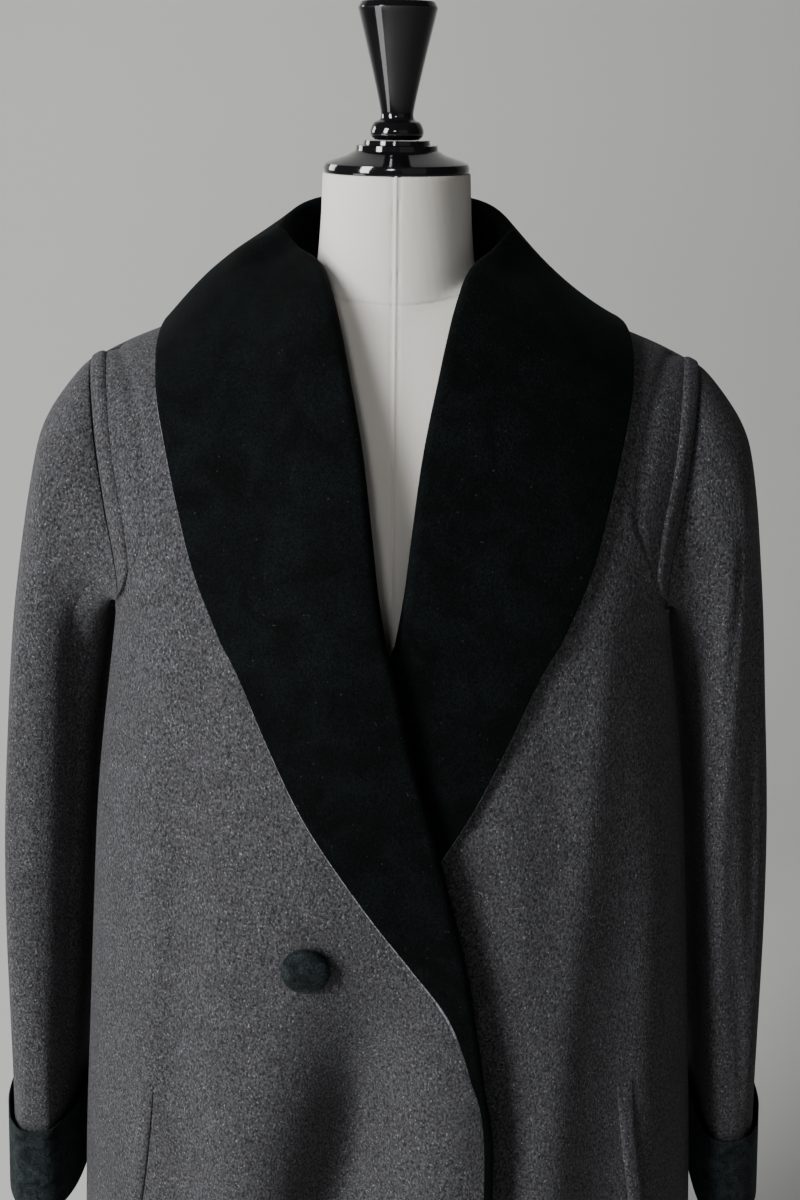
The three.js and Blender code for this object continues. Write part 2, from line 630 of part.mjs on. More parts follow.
// Where the collar's neck seam or roll line lies at a run, and its outer edge, the right half
function collarLine(run) {
  const get = (column) => along(COLLAR, "run", column, run);
  const line = { edge: get("edge"), edgeTurn: get("edgeTurn"), stand: Math.max(0, get("stand")) };
  line.arch = Math.exp(-Math.pow((run - SHOULDER_RUN) / 2.4, 2));
  line.loose = LOOSE + LAP_LOOSE * smooth(10, 12, run) * (1 - smooth(16, 18, run));
  if (run < SHOULDER_RUN) {
    line.across = get("across");
    line.turn = along(NECK_SEAM, "out", "turn", Math.abs(line.across));
  } else {
    line.turn = get("turn");
    line.across = along(FRONT_EDGE, "level", "across", SHOULDER_LEVEL + line.turn);
  }
  return line;
}

// A point of a half collar's fall: share 0 at the roll and 1 at the outer edge, out over the coat
function fallPoint(hand, line, share, out) {
  const x = -hand * mix(line.across, line.edge, share);
  const turn = mix(line.turn, line.edgeTurn, share);
  const level = SHOULDER_LEVEL - Math.abs(turn);
  const lift = turn < 0 ? liftOf(hand, x, level) : 0;
  const arch = (hand === RIGHT ? FULL_RIGHT : FULL_LEFT) * line.arch;
  const point = turnPoint(x, turn, out + lift + arch * Math.sin(Math.PI * Math.min(share, 1)));
  point.z += line.stand * Math.pow(Math.max(0, 1 - share), 1.2);
  return point;
}

// One row of a half collar's outer face at a run, from the outer edge to the roll and behind it
const FALL_STEPS = 5;
const ROLL_STEPS = 3;
const SURFACE_STEP = 8;
const LEG_SHORT = 1.5;
function collarRow(hand, run) {
  const line = collarLine(run);
  const under = THREE.MathUtils.clamp(along(COLLAR, "run", "under", run), 0, 1);
  const over = UNDER_WOOL + line.loose + LOOSE + VELVET + 0.035 * line.stand;
  const row = [];
  for (let step = FALL_STEPS; step >= 0; step -= 1) {
    row.push(fallPoint(hand, line, step / FALL_STEPS, over));
  }
  const roll = row[FALL_STEPS];
  const foot = fallPoint(hand, line, 0, 0);
  const normal = roll.clone().sub(foot).normalize();
  const across = new THREE.Vector3(foot.x, foot.y, 0);
  if (run >= SHOULDER_RUN + 3) {
    const inside = { ...line, across: line.across - SURFACE_STEP };
    across.copy(fallPoint(hand, inside, 0, 0)).sub(foot);
  }
  if (under === 0) normal.set(0, 0, 1);
  if (run < SHOULDER_RUN + 3) across.addScaledVector(normal, -across.dot(normal)).normalize();
  else normal.addScaledVector(across.normalize(), -normal.dot(across)).normalize();
  const radius = ROLL_RADIUS + (under * (line.stand + line.loose - LOOSE)) / 2;
  const centre = roll.clone().addScaledVector(normal, -radius);
  const sweep = mix(Math.PI / 2, Math.PI, under);
  for (let step = 1; step <= ROLL_STEPS; step += 1) {
    const angle = (sweep * step) / ROLL_STEPS;
    const point = centre.clone().addScaledVector(across, -radius * Math.sin(angle));
    row.push(point.addScaledVector(normal, radius * Math.cos(angle)));
  }
  const leg = mix(line.stand + over - radius - LEG_SHORT, FACING_TURN, under);
  const tip = row[row.length - 1].clone();
  tip.addScaledVector(across, -leg * Math.cos(sweep)).addScaledVector(normal, -leg * Math.sin(sweep));
  row.push(tip);
  return row;
}

// Both grids of a half that meets the other at the middle of the back, with half a gap between
function parted(outer, inner, hand) {
  for (const point of [...outer[0], ...inner[0]]) point.x = (hand * GAP) / 2;
  return shell(outer, inner);
}

// Run of the collar at which its roll passes a level of the front
function runAtLevel(level) {
  let low = SHOULDER_RUN;
  let high = COLLAR[COLLAR.length - 1].run;
  for (let step = 0; step < 30; step += 1) {
    const middle = (low + high) / 2;
    if (SHOULDER_LEVEL + along(COLLAR, "run", "turn", middle) > level) low = middle;
    else high = middle;
  }
  return high;
}

// Runs of the collar's rows: round the back of the neck, then one at each row of the front
const BACK_STEPS = 7;
const COLLAR_RUNS = [
  ...Array.from({ length: BACK_STEPS }, (_, i) => (SHOULDER_RUN * i) / BACK_STEPS),
  ...Array.from({ length: TOP_ROW + 1 }, (_, i) => runAtLevel(rowLevel(TOP_ROW - i))),
];

function collar(hand) {
  const grid = COLLAR_RUNS.map((run) => collarRow(hand, run));
  return parted(grid, inward(grid, VELVET, false, hand), hand);
}

// The wool under collar, between the velvet and the coat
function underCollar(hand) {
  const runs = COLLAR_RUNS.filter((run) => run < UNDER_COLLAR_END);
  const grid = runs.map((run) => {
    const line = collarLine(run);
    const reach = Math.hypot(line.edge - line.across, line.edgeTurn - line.turn);
    return Array.from({ length: FALL_STEPS + 1 }, (_, step) => {
      let share = 1 - step / FALL_STEPS;
      if (step === 0) share = 1 + UNDER_SHOWS / reach;
      if (step === FALL_STEPS) share = UNDER_INSET / reach;
      return fallPoint(hand, line, share, UNDER_WOOL + line.loose + 0.015 * line.stand);
    });
  });
  return parted(grid, inward(grid, UNDER_WOOL, false, hand), hand);
}

// The stitched band along the front of the armhole, narrower at its foot
function armholeBand(grid) {
  const last = Math.floor(BAND.topStep) - Math.floor(BAND.lowStep) + 1;
  const layer = (out) =>
    gridOf(last, 2, (down, over) => {
      const step = Math.floor(BAND.topStep) + 1 - Math.round(down * last);
      const row = LOW_ROWS + THREE.MathUtils.clamp(step, BAND.lowStep, BAND.topStep);
      const cell = onFacets(grid, row, 1).distanceTo(onFacets(grid, row, 0));
      const wide = mix(BAND.wideTop, BAND.wideLow, down) * mix(1, BAND.foot, smooth(0.8, 1, down));
      return onFacets(grid, row, (BAND.inset + wide * over) / cell, out);
    });
  return shell(layer(LOOSE + BAND.thick), layer(LOOSE));
}

// The slanted welt of a front's pocket
function pocketWelt(hand, grid) {
  const layer = (out) =>
    gridOf(8, 2, (down, over) => {
      const away = mix(POCKET.topAt, POCKET.lowAt, Math.pow(down, 1.3)) + POCKET.wide * (over - 0.5);
      const { row, column } = spotOn(grid, hand * away, mix(POCKET.top, POCKET.low, down));
      return onFacets(grid, row, column, out);
    });
  return shell(layer(POCKET.over + POCKET.thick), layer(POCKET.over));
}

// A turned solid from a profile of radii and heights
function turned(profile, sides) {
  const points = profile.map(({ r, z }) => new THREE.Vector2(r, z));
  points.unshift(new THREE.Vector2(0, points[0].y));
  points.push(new THREE.Vector2(0, points[points.length - 1].y));
  const geometry = new THREE.LatheGeometry(points, sides);
  geometry.rotateX(Math.PI / 2);
  return geometry;
}

// A point of the canvas torso: side front or back, share -1 to 1 across
function formPoint(side, share, level) {
  const half = along(FORM, "level", "half", level);
  const square = along(FORM, "level", "square", level);
  const depth = along(FORM, "level", side === FRONT ? "front" : "back", Math.min(level, UNDERARM));
  const plate = angleOf(-Math.min(half, FORM_PLATE), half, square);
  const x = acrossAt(mix(plate, Math.PI - plate, (1 + share) / 2), half, square);
  const round = Math.pow(Math.max(0, 1 - Math.pow(Math.abs(x) / half, square)), 1 / square);
  const over = THREE.MathUtils.clamp((level - UNDERARM) / (SHOULDER_LEVEL - UNDERARM), 0, 1);
  const angle = (over * Math.PI) / 2;
  const curve = 2 / (side === FRONT ? CHEST_CURVE : FORM_BACK_CURVE);
  const back = over === 1 ? 0 : Math.pow(Math.cos(angle), curve);
  const top = along(SHOULDER, "out", "top", Math.abs(x)) - 1.08 * (WOOL + FORM_SEAT);
  const z = level <= UNDERARM ? level : mix(UNDERARM, top, Math.pow(Math.sin(angle), curve));
  return new THREE.Vector3(x, side * (1 + depth * round * back), z);
}

// The canvas torso as rings from its bottom plate to the shoulder seam, closed at both ends
const TORSO_LOW = 7;
const TORSO_HIGH = 8;
const TORSO_COLUMNS = 9;
function torsoGeometry() {
  const rings = Array.from({ length: TORSO_LOW + TORSO_HIGH + 1 }, (_, i) => {
    const high = (1 - Math.cos((Math.PI * (i - TORSO_LOW)) / TORSO_HIGH)) / 2;
    const level = i < TORSO_LOW
      ? mix(FORM_BOTTOM, UNDERARM, i / TORSO_LOW)
      : mix(UNDERARM, SHOULDER_LEVEL, high);
    const shares = Array.from({ length: TORSO_COLUMNS + 1 }, (_, j) => mix(-1, 1, j / TORSO_COLUMNS));
    const front = shares.map((share) => formPoint(FRONT, share, level));
    const back = shares.map((share) => formPoint(BACK, -share, level));
    return [...front, ...back];
  });
  return closedRings(rings, TORSO_COLUMNS);
}

// Rings stacked into one closed body. Each end is closed by a strip between front and back.
function closedRings(rings, columns) {
  const size = rings[0].length;
  const position = rings.flat().flatMap((p) => [p.x, p.y, p.z]);
  const index = [];
  for (let i = 0; i < rings.length - 1; i += 1) {
    for (let j = 0; j < size; j += 1) {
      const a = i * size + j;
      const b = i * size + ((j + 1) % size);
      index.push(a, b, b + size, a, b + size, a + size);
    }
  }
  for (const start of [0, (rings.length - 1) * size]) {
    for (let j = 0; j < columns; j += 1) {
      const a = start + j;
      const b = start + j + 1;
      const c = start + size - 2 - j;
      const d = start + size - 1 - j;
      index.push(...(start === 0 ? [a, c, b, a, d, c] : [a, b, c, a, c, d]));
    }
  }
  return facingOut(position, index);
}

// Joins two closed geometries into one body
function joined(first, second) {
  const solid = (geometry) => {
    geometry.deleteAttribute("normal");
    geometry.deleteAttribute("uv");
    const merged = mergeVertices(geometry, 1e-3);
    return new wasm.Manifold(
      new wasm.Mesh({
        numProp: 3,
        vertProperties: new Float32Array(merged.attributes.position.array),
        triVerts: new Uint32Array(merged.index.array),
      }),
    );
  };
  const mesh = solid(first).add(solid(second)).getMesh();
  const geometry = new THREE.BufferGeometry();
  geometry.setAttribute("position", new THREE.Float32BufferAttribute(mesh.vertProperties, 3));
  geometry.setIndex(Array.from(mesh.triVerts));
  return geometry;
}

// The neck, from inside the torso up to the cap
const NECK = [
  { r: 52, z: 1390 },
  { r: 60, z: 1408 },
  { r: 58.5, z: 1424 },
  { r: 57.5, z: 1438 },
  { r: 54.8, z: 1468 },
  { r: 53.4, z: NECK_TOP },
];

function buttonGeometry() {
  const { radius, thick } = BUTTON;
  const profile = [
    { r: radius * 0.86, z: 0 },
    { r: radius, z: thick * 0.3 },
    { r: radius * 0.93, z: thick * 0.58 },
    { r: radius * 0.7, z: thick * 0.84 },
    { r: radius * 0.36, z: thick * 0.97 },
  ];
  return turned(profile, 18);
}

// Finishes
const finish = (color, roughness) => new THREE.MeshStandardMaterial({ color, roughness, metalness: 0 });
const WOOL_FINISH = finish(0x55555a, 0.95);
const VELVET_FINISH = finish(0x0e1413, 0.85);
const CANVAS_FINISH = finish(0xd2cdc2, 0.85);
const LACQUER_FINISH = finish(0x0a0a0b, 0.18);

const coat = new THREE.Group();

function add(name, geometry, material) {
  const mesh = new THREE.Mesh(geometry, material.clone());
  mesh.name = name;
  coat.add(mesh);
  return mesh;
}

for (const [hand, word] of [[RIGHT, "right"], [LEFT, "left"]]) {
  const grid = frontGrid(hand, 0);
  add("front_" + word, shell(grid, frontGrid(hand, -WOOL)), WOOL_FINISH);
  const { upper, under } = sleeves(hand);
  add("sleeve_upper_" + word, upper, WOOL_FINISH);
  add("sleeve_under_" + word, under, WOOL_FINISH);
  add("cuff_" + word, cuff(hand), VELVET_FINISH);
  add("collar_" + word, collar(hand), VELVET_FINISH);
  add("under_collar_" + word, underCollar(hand), WOOL_FINISH);
  add("armhole_band_" + word, armholeBand(grid), WOOL_FINISH);
  add("pocket_welt_" + word, pocketWelt(hand, grid), WOOL_FINISH);
}
add("back", backPanel(), WOOL_FINISH);

// The button, its flat back just clear of the lapped front all round
const button = add("button", buttonGeometry(), VELVET_FINISH);
const rightGrid = frontGrid(RIGHT, 0);
const surfaceY = Array.from({ length: 12 }, (_, i) => {
  const angle = (i * Math.PI) / 6;
  const x = BUTTON.across + BUTTON.radius * Math.cos(angle);
  const { row, column } = spotOn(rightGrid, x, BUTTON.height + BUTTON.radius * Math.sin(angle));
  return onFacets(rightGrid, row, column).y;
});
button.rotation.x = Math.PI / 2;
button.position.set(BUTTON.across, Math.min(...surfaceY) - GAP, BUTTON.height);

// The form and its stand
add("form_torso", joined(torsoGeometry(), turned(NECK, 22)), CANVAS_FINISH);
const cap = add("neck_cap", turned(CAP, 22), LACQUER_FINISH);
const knob = add("cap_knob", turned(KNOB, 22), LACQUER_FINISH);
cap.position.z = NECK_TOP + GAP;
knob.position.z = NECK_TOP + GAP;
const poleProfile = [
  { r: POLE.radius, z: BASE.tall + GAP },
  { r: POLE.radius, z: FORM_BOTTOM - GAP - POLE.collarTall },
  { r: POLE.collar, z: FORM_BOTTOM - GAP - POLE.collarTall },
  { r: POLE.collar, z: FORM_BOTTOM - GAP },
];
const baseProfile = [
  { r: BASE.radius, z: 0 },
  { r: BASE.radius, z: BASE.tall * 0.45 },
  { r: BASE.radius - 9, z: BASE.tall * 0.75 },
  { r: 60, z: BASE.tall },
];
add("stand_pole", turned(poleProfile, 18), LACQUER_FINISH);
add("stand_base", turned(baseProfile, 30), LACQUER_FINISH);

export default coat;
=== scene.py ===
# %% [markdown]
# # A wool overcoat with a velvet shawl collar, on a canvas dress form
#
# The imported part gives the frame: where everything is, and how large. This lesson
# builds the coat again as thin cloth on the same surfaces, with finer folds, and
# gives every piece the look of its real material. Sums are in millimetres and each
# finished mesh is in metres. The front faces -Y and the coat's left side is at +X.

import json
import math

import bmesh
import bpy
import numpy as np
from mathutils import Matrix, Vector


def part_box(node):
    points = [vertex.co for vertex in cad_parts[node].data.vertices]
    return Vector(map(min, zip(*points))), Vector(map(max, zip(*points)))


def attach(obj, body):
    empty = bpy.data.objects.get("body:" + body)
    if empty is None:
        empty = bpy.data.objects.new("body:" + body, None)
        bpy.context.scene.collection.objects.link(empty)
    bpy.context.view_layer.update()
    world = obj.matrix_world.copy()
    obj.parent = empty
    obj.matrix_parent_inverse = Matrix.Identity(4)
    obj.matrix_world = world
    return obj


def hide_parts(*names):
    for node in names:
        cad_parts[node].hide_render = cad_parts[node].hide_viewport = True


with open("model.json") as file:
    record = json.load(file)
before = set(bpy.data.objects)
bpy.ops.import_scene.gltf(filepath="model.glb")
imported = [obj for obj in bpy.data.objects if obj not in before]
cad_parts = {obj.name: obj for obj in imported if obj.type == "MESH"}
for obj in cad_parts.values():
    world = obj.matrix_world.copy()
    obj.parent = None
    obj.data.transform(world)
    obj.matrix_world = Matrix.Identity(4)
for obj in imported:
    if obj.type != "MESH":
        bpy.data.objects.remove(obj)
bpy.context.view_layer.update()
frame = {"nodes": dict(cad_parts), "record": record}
MM = 0.001
RIGHT, LEFT = -1, 1
FRONT, BACK = -1, 1
print("nodes in the frame:", len(frame["nodes"]))

# %% [markdown]
# ## The coat's cut, as short tables
#
# Each table has named columns. A value between two rows lies on a smooth curve
# through the rows.

# %% Read a table on a smooth curve


def table(columns, rows):
    """A table as one array for each named column."""
    return {name: np.array([row[i] for row in rows], float) for i, name in enumerate(columns.split())}


def along(data, key, column, value):
    """The column's value where the key has this value, on a smooth curve."""
    keys, rows = data[key], data[column]
    value = np.asarray(value, float)
    slope = np.empty_like(rows)
    slope[1:-1] = (rows[2:] - rows[:-2]) / (keys[2:] - keys[:-2])
    slope[0] = (rows[1] - rows[0]) / (keys[1] - keys[0])
    slope[-1] = (rows[-1] - rows[-2]) / (keys[-1] - keys[-2])
    i = np.clip(np.searchsorted(keys, value) - 1, 0, len(keys) - 2)
    span = keys[i + 1] - keys[i]
    t = np.clip((value - keys[i]) / span, 0, 1)
    ease = (rows[i + 1] - rows[i]) * t * t * (3 - 2 * t)
    return rows[i] + ease + slope[i] * span * t * (1 - t) ** 2 - slope[i + 1] * span * t * t * (1 - t)


def smooth(start, end, value):
    """From 0 at the start to 1 at the end, with eased ends."""
    t = np.clip((np.asarray(value, float) - start) / (end - start), 0, 1)
    return t * t * (3 - 2 * t)


def mix(start, end, share):
    """A straight mix of two values."""
    return start + (end - start) * share


def bump(value, centre, width):
    """A soft bump that is 1 at its centre."""
    return np.exp(-(((value - centre) / width) ** 2))


# %% Sizes and tables of the coat
WOOL, UNDER_WOOL, VELVET, GAP, LOOSE = 2.2, 1.3, 1.5, 0.35, 0.8
HEM, UNDERARM, SHOULDER_LEVEL = 345, 1190, 1390
SLEEVE_END, CUFF_TOP = 641, 719
CHEST_CURVE, BACK_CURVE = 1.95, 2.8

BODY = table("level half front back square", [
    (345, 287, 186, 168, 2.4),
    (610, 270, 180, 156, 2.5),
    (717, 263, 177, 152, 2.5),
    (820, 254.5, 173, 147, 2.5),
    (917, 246.5, 169, 142, 2.5),
    (1010, 238.5, 163, 136, 2.5),
    (1063, 232, 159, 132, 2.55),
    (1115, 224, 154, 127, 2.65),
    (1160, 217, 150, 122, 2.75),
    (1190, 214, 147, 119, 2.8),
    (1240, 226, 147, 119, 2.7),
    (1300, 243, 147, 119, 2.6),
    (1390, 262, 147, 119, 2.5),
])
SHOULDER = table("out top", [
    (0, 1444), (58, 1437), (110, 1415), (165, 1391), (200, 1377), (228, 1363), (262, 1345),
])
ARMHOLE = table("step level out", [
    (0, 1190, 214), (1, 1190.2, 213.5), (2, 1190.8, 211.2), (3, 1192.6, 206.5), (4, 1198, 202),
    (5, 1208, 201), (6, 1224, 203.2), (7, 1243, 207.6), (8, 1266, 212.2), (9, 1292, 216.6),
    (10, 1318, 220.2), (11, 1345, 223.5), (12, 1369, 226), (13, 1390, 228),
])
FRONT_EDGE = table("level across", [
    (345, 70), (799, 72), (868, 62), (930, 52), (1000, 37), (1065, 22), (1115, 9), (1174, -3),
    (1209, -14), (1231, -19), (1259, -26), (1294, -38), (1335, -51), (1358, -60), (1372, -71),
    (1390, -84),
])
NECK_SEAM = table("out turn", [(0, 58), (34, 53), (62, 37), (78, 16), (84, 0)])

# Folds: at, at the level of full; lean and spread per unit of height below it; top is where it ends
FOLDS = table("side at lean wide spread out full top", [
    (FRONT, -22, -0.02, 37, 0.05, -21, 790, 985),
    (FRONT, 44, -0.02, 26, 0.03, 4, 800, 960),
    (FRONT, -196, 0.03, 17, 0.02, 5, 1050, 1180),
    (FRONT, -158, 0.02, 22, 0.03, -4, 820, 1120),
    (FRONT, -110, 0.03, 30, 0.04, 4, 700, 980),
    (FRONT, 152, 0.05, 14, 0.03, 5, 1130, 1260),
    (FRONT, 176, 0.01, 25, 0.02, -8, 940, 1090),
    (FRONT, 206, -0.01, 16, 0.02, 5, 1000, 1130),
    (FRONT, 122, 0.02, 30, 0.04, 6, 720, 960),
    (BACK, -12, 0.02, 38, 0.05, -8, 760, 1080),
    (BACK, -92, 0.05, 34, 0.05, 8, 780, 1120),
    (BACK, 84, -0.06, 36, 0.04, 9, 740, 1070),
    (BACK, -168, 0.03, 26, 0.03, -6, 860, 1110),
    (BACK, 160, -0.02, 28, 0.03, -7, 800, 1060),
])
# Smaller creases, each a soft trough or ridge: centre, half width, half length, lean and height
CREASES = table("side at level wide long lean out", [
    (FRONT, -190, 1140, 8, 54, 0.22, -3.4),
    (FRONT, -178, 960, 12, 180, 0.02, 3.4),
    (FRONT, -158, 930, 11, 160, 0.03, -3.0),
    (FRONT, -170, 1128, 12, 60, 0.18, 1.6),
    (FRONT, -140, 1040, 12, 110, 0.05, -1.7),
    (FRONT, -122, 900, 15, 130, 0.04, 2.4),
    (FRONT, -88, 905, 9, 55, 0.25, -1.2),
    (FRONT, -74, 1015, 8, 50, -0.35, -0.9),
    (FRONT, -108, 780, 26, 120, 0.26, 4.5),
    (FRONT, -44, 725, 31, 155, 0.21, -26),
    (FRONT, 8, 760, 10, 90, 0.12, -1.5),
    (FRONT, 58, 840, 7, 80, 0.1, 1.2),
    (FRONT, -203, 930, 10, 110, 0.02, -2.8),
    (FRONT, -150, 1290, 14, 40, 0.1, -1.2),
    (FRONT, 190, 1180, 8, 44, -0.3, -2.4),
    (FRONT, 170, 1290, 13, 50, -0.1, -1.6),
    (FRONT, 120, 1080, 11, 80, -0.2, -1.7),
    (FRONT, 96, 990, 14, 100, -0.12, 2.6),
    (FRONT, 150, 860, 13, 120, 0.02, -3.2),
    (FRONT, 222, 860, 9, 90, 0.0, -1.8),
    (FRONT, -40, 560, 14, 120, 0.06, 2.2),
    (FRONT, 110, 560, 12, 110, -0.04, -2.0),
    (BACK, -150, 1230, 14, 60, 0.4, -2.6),
    (BACK, 142, 1220, 13, 64, -0.35, -2.4),
    (BACK, -52, 1070, 19, 140, 0.07, -6.0),
    (BACK, 40, 940, 20, 170, -0.06, 5.5),
    (BACK, 112, 840, 19, 150, -0.04, -8.0),
    (BACK, -128, 800, 21, 170, 0.06, -8.5),
    (BACK, -16, 680, 25, 190, 0.03, -8.5),
    (BACK, 74, 520, 22, 150, 0.04, -6.5),
    (BACK, -196, 900, 14, 140, 0.0, 4.0),
    (BACK, 10, 1290, 22, 30, 0.0, 1.6),
])
# The sleeve as seen from the front: outer line, inner line, half depths and middle in Y
SLEEVE = table("run topOut topZ lowOut lowZ front back mid", [
    (0, 228, 1363, 214.5, 1190, 74, 74, 0),
    (1, 241, 1354, 219, 1170, 76, 76, 0),
    (2, 254, 1337, 223, 1146, 77, 78, 1),
    (3, 265, 1316, 227, 1120, 78, 80, 2),
    (4, 275, 1280, 231.5, 1092, 78, 82, 3),
    (5, 285, 1235, 237, 1054, 78, 84, 4),
    (6, 296, 1175, 242.5, 1006, 78, 85, 5),
    (7, 306, 1098, 248.5, 948, 78, 85, 6),
    (8, 316, 1010, 254.5, 884, 77, 84, 7),
    (9, 323, 920, 260.5, 815, 76, 82, 8),
    (10, 327, 825, 266, 765, 76, 80, 8),
    (11, 330, 735, 271, 728, 76, 79, 8),
    (12, 333, 641, 276, 641, 75, 78, 8),
])
SLEEVE_WRAP, LEFT_CLOSER, SLEEVE_SQUARE, SLEEVE_GAP, SET_RUN = 15, 8, 2.3, 0.15, 3.2
# Folds and creases of the sleeve: degrees from the shoulder over the front, and runs down
SLEEVE_FOLDS = table("hand round run turn length slant out", [
    (0, 62, 6.2, 24, 3.2, 4, -7),
    (0, 112, 8.4, 18, 2.6, -3, 4),
    (0, 30, 9.4, 22, 2.4, 3, -4),
    (0, 300, 5.6, 26, 3.0, -4, -6),
    (0, 255, 8.6, 20, 2.4, 3, -5),
    (0, 335, 3.0, 16, 1.6, 0, -3),
])
SLEEVE_CREASES = table("hand round run turn length slant out", [
    (RIGHT, 124, 5.2, 36, 3.5, 0, -22),
    (RIGHT, 56, 6.0, 20, 4.4, 1, 6),
    (RIGHT, 122, 8.8, 34, 2.9, 0, -17),
    (RIGHT, 66, 8.2, 12, 1.8, 4, -1.6),
    (RIGHT, 48, 7.4, 9, 2.2, -2, 1.7),
    (RIGHT, 20, 5.2, 9, 1.8, 3, -1.8),
    (RIGHT, 60, 10.4, 8, 1.0, -6, -2.0),
    (RIGHT, 92, 10.4, 11, 1.1, 5, 1.4),
    (RIGHT, 14, 8.8, 8, 1.6, 2, 1.5),
    (LEFT, 80, 4.0, 9, 1.7, 8, -2.8),
    (LEFT, 96, 6.6, 8, 1.6, 5, 2.2),
    (LEFT, 66, 7.6, 9, 1.7, 3, -2.2),
    (LEFT, 40, 6.0, 9, 2.0, -3, 1.6),
    (LEFT, 22, 9.6, 9, 1.4, 3, -1.8),
    (LEFT, 84, 9.4, 7, 1.3, -5, -2.0),
    (0, 330, 6.8, 10, 1.6, 3, -2.2),
    (0, 286, 3.4, 9, 1.3, 8, -2.6),
    (0, 270, 7.2, 8, 1.6, -4, 2.2),
    (0, 310, 9.4, 9, 1.3, 4, -2.0),
    (0, 240, 5.6, 9, 1.4, 5, -2.0),
])
# The shawl collar: stations from the middle of the back, round the neck and down the front
COLLAR = table("run across turn edge edgeTurn stand under", [
    (0, 0, 58, 0, 104, 51, 0),
    (1, -34, 53, -62, 97, 49, 0),
    (2, -62, 37, -116, 74, 43, 0),
    (3, -78, 16, -150, 36, 35, 0),
    (4, -84, 0, -163, 4, 28, 0),
    (5, -80, -9, -167, -22, 21, 0),
    (6, -71, -19, -168, -44, 14, 0),
    (7, -60, -32, -167, -62, 9, 0.1),
    (8, -51, -55, -164, -86, 6, 0.5),
    (9, -38, -96, -157, -112, 4, 1),
    (10, -26, -131, -147, -142, 3, 1),
    (11, -17, -168, -134, -172, 2, 1),
    (12, -3, -216, -106, -214, 1, 1),
    (13, 9, -275, -80, -272, 1, 1),
    (14, 22, -325, -55, -324, 1, 1),
    (15, 37, -390, -16, -389, 1, 1),
    (16, 47, -437, 15, -436, 1, 1),
    (17, 54, -475, 41, -475, 0, 1),
    (18, 62, -522, 56.5, -522, 0, 1),
    (19, 72, -591, 69, -591, 0, 1),
    (20, 71, -800, 68, -800, 0, 1),
    (21, 70, -1044.5, 67, -1044.5, 0, 1),
])
SHOULDER_RUN, LAST_RUN, UNDER_COLLAR_END, UNDER_INSET, UNDER_SHOWS = 4, 21, 17.6, 3, 1.9
ROLL_RADIUS, FACING_TURN, LEG_SHORT, SURFACE_STEP = 4.8, 11, 1.5, 8
NECK_TOP = 1500
FULL = {RIGHT: 8, LEFT: -2}
LAP, LAP_LOOSE, LAP_SLOPE, LAP_MARGIN = 12.7, 1.2, 160, 14
# Creases of the collar's fall: place along it, share of the way to its edge, sizes and height
COLLAR_CREASES = table("hand run share length wide slant out", [
    (RIGHT, 5.6, 0.10, 0.8, 0.09, 0.02, -3.4),
    (RIGHT, 5.0, 0.30, 1.0, 0.12, 0.03, 2.0),
    (RIGHT, 9.4, 0.55, 2.2, 0.22, 0.0, -1.6),
    (RIGHT, 12.6, 0.40, 1.8, 0.25, 0.0, 1.3),
    (RIGHT, 15.4, 0.45, 1.2, 0.30, 0.0, -1.2),
    (RIGHT, 2.6, 0.50, 1.2, 0.30, 0.0, -1.6),
    (LEFT, 6.2, 0.16, 1.1, 0.10, 0.0, -2.4),
    (LEFT, 7.6, 0.60, 2.0, 0.22, 0.0, 1.8),
    (LEFT, 10.8, 0.42, 2.2, 0.24, 0.0, -1.6),
    (LEFT, 13.6, 0.55, 1.6, 0.28, 0.0, 1.2),
    (LEFT, 2.2, 0.55, 1.3, 0.30, 0.0, -1.8),
])
BAND = {"wideTop": 17, "wideLow": 26, "thick": 2, "topStep": 12.8, "lowStep": 4.3, "inset": 1.2,
        "foot": 0.945}
POCKET = {"wide": 13, "thick": 2, "top": 822, "low": 652, "topAt": 186, "lowAt": 212}
BUTTON = {"across": -60, "height": 952, "radius": 18, "thick": 11}
LOW_ROWS, HIGH_ROWS = 11, 13
TOP_ROW = LOW_ROWS + HIGH_ROWS
FAN, EDGE_INSET = 0.42, 1.6
# A shoulder slopes, so cloth that is lifted off it rises by more than its own lift
SLOPE_LIFT = 1.08
# The cloth lies this far inside the surface that it is laid on
SINK, SLEEVE_SINK = 0.25, 0.2
# The taller the collar stands, the more its layers stand apart: velvet, then under collar
VELVET_OPENS, UNDER_OPENS = 0.035, 0.015
# The sleeve ends at its last run. Its columns go down the front of the armhole and up
# the back, a step for each row
LAST_SLEEVE_RUN, ARMHOLE_STEPS = 12, 2 * HIGH_ROWS
print("body rows:", len(BODY["level"]), "folds:", len(FOLDS["at"]), "creases:", len(CREASES["at"]))

# %% [markdown]
# ## Surfaces of the coat
#
# A point of the body is found from its place across and its level. Up to the
# underarm a level is a height. Above it the surface curves over to the shoulder.

# %% Body surface


def add_up(data, side, u, v, keys):
    """Sum of soft bumps. keys names the columns of the centre, sizes and lean."""
    at_u, at_v, wide, long, lean = keys
    total = np.zeros(np.broadcast(u, v).shape)
    for i in range(len(data["out"])):
        owner = data.get("side", data.get("hand"))[i]
        if owner not in (0, side):
            continue
        off = u - data[at_u][i] - data[lean][i] * (v - data[at_v][i])
        total += data["out"][i] * bump(off, 0, data[wide][i]) * bump(v, data[at_v][i], data[long][i])
    return total


def fold_out(side, x, level):
    """How far the hanging folds move the cloth out."""
    total = np.zeros(np.broadcast(x, level).shape)
    for i in range(len(FOLDS["at"])):
        if FOLDS["side"][i] != side:
            continue
        below = FOLDS["full"][i] - level
        wide = FOLDS["wide"][i] + np.maximum(0, below) * FOLDS["spread"][i]
        off = x - FOLDS["at"][i] + FOLDS["lean"][i] * below
        fade = 1 - smooth(FOLDS["full"][i], FOLDS["top"][i], level)
        total += FOLDS["out"][i] * bump(off, 0, wide) * fade
    return total


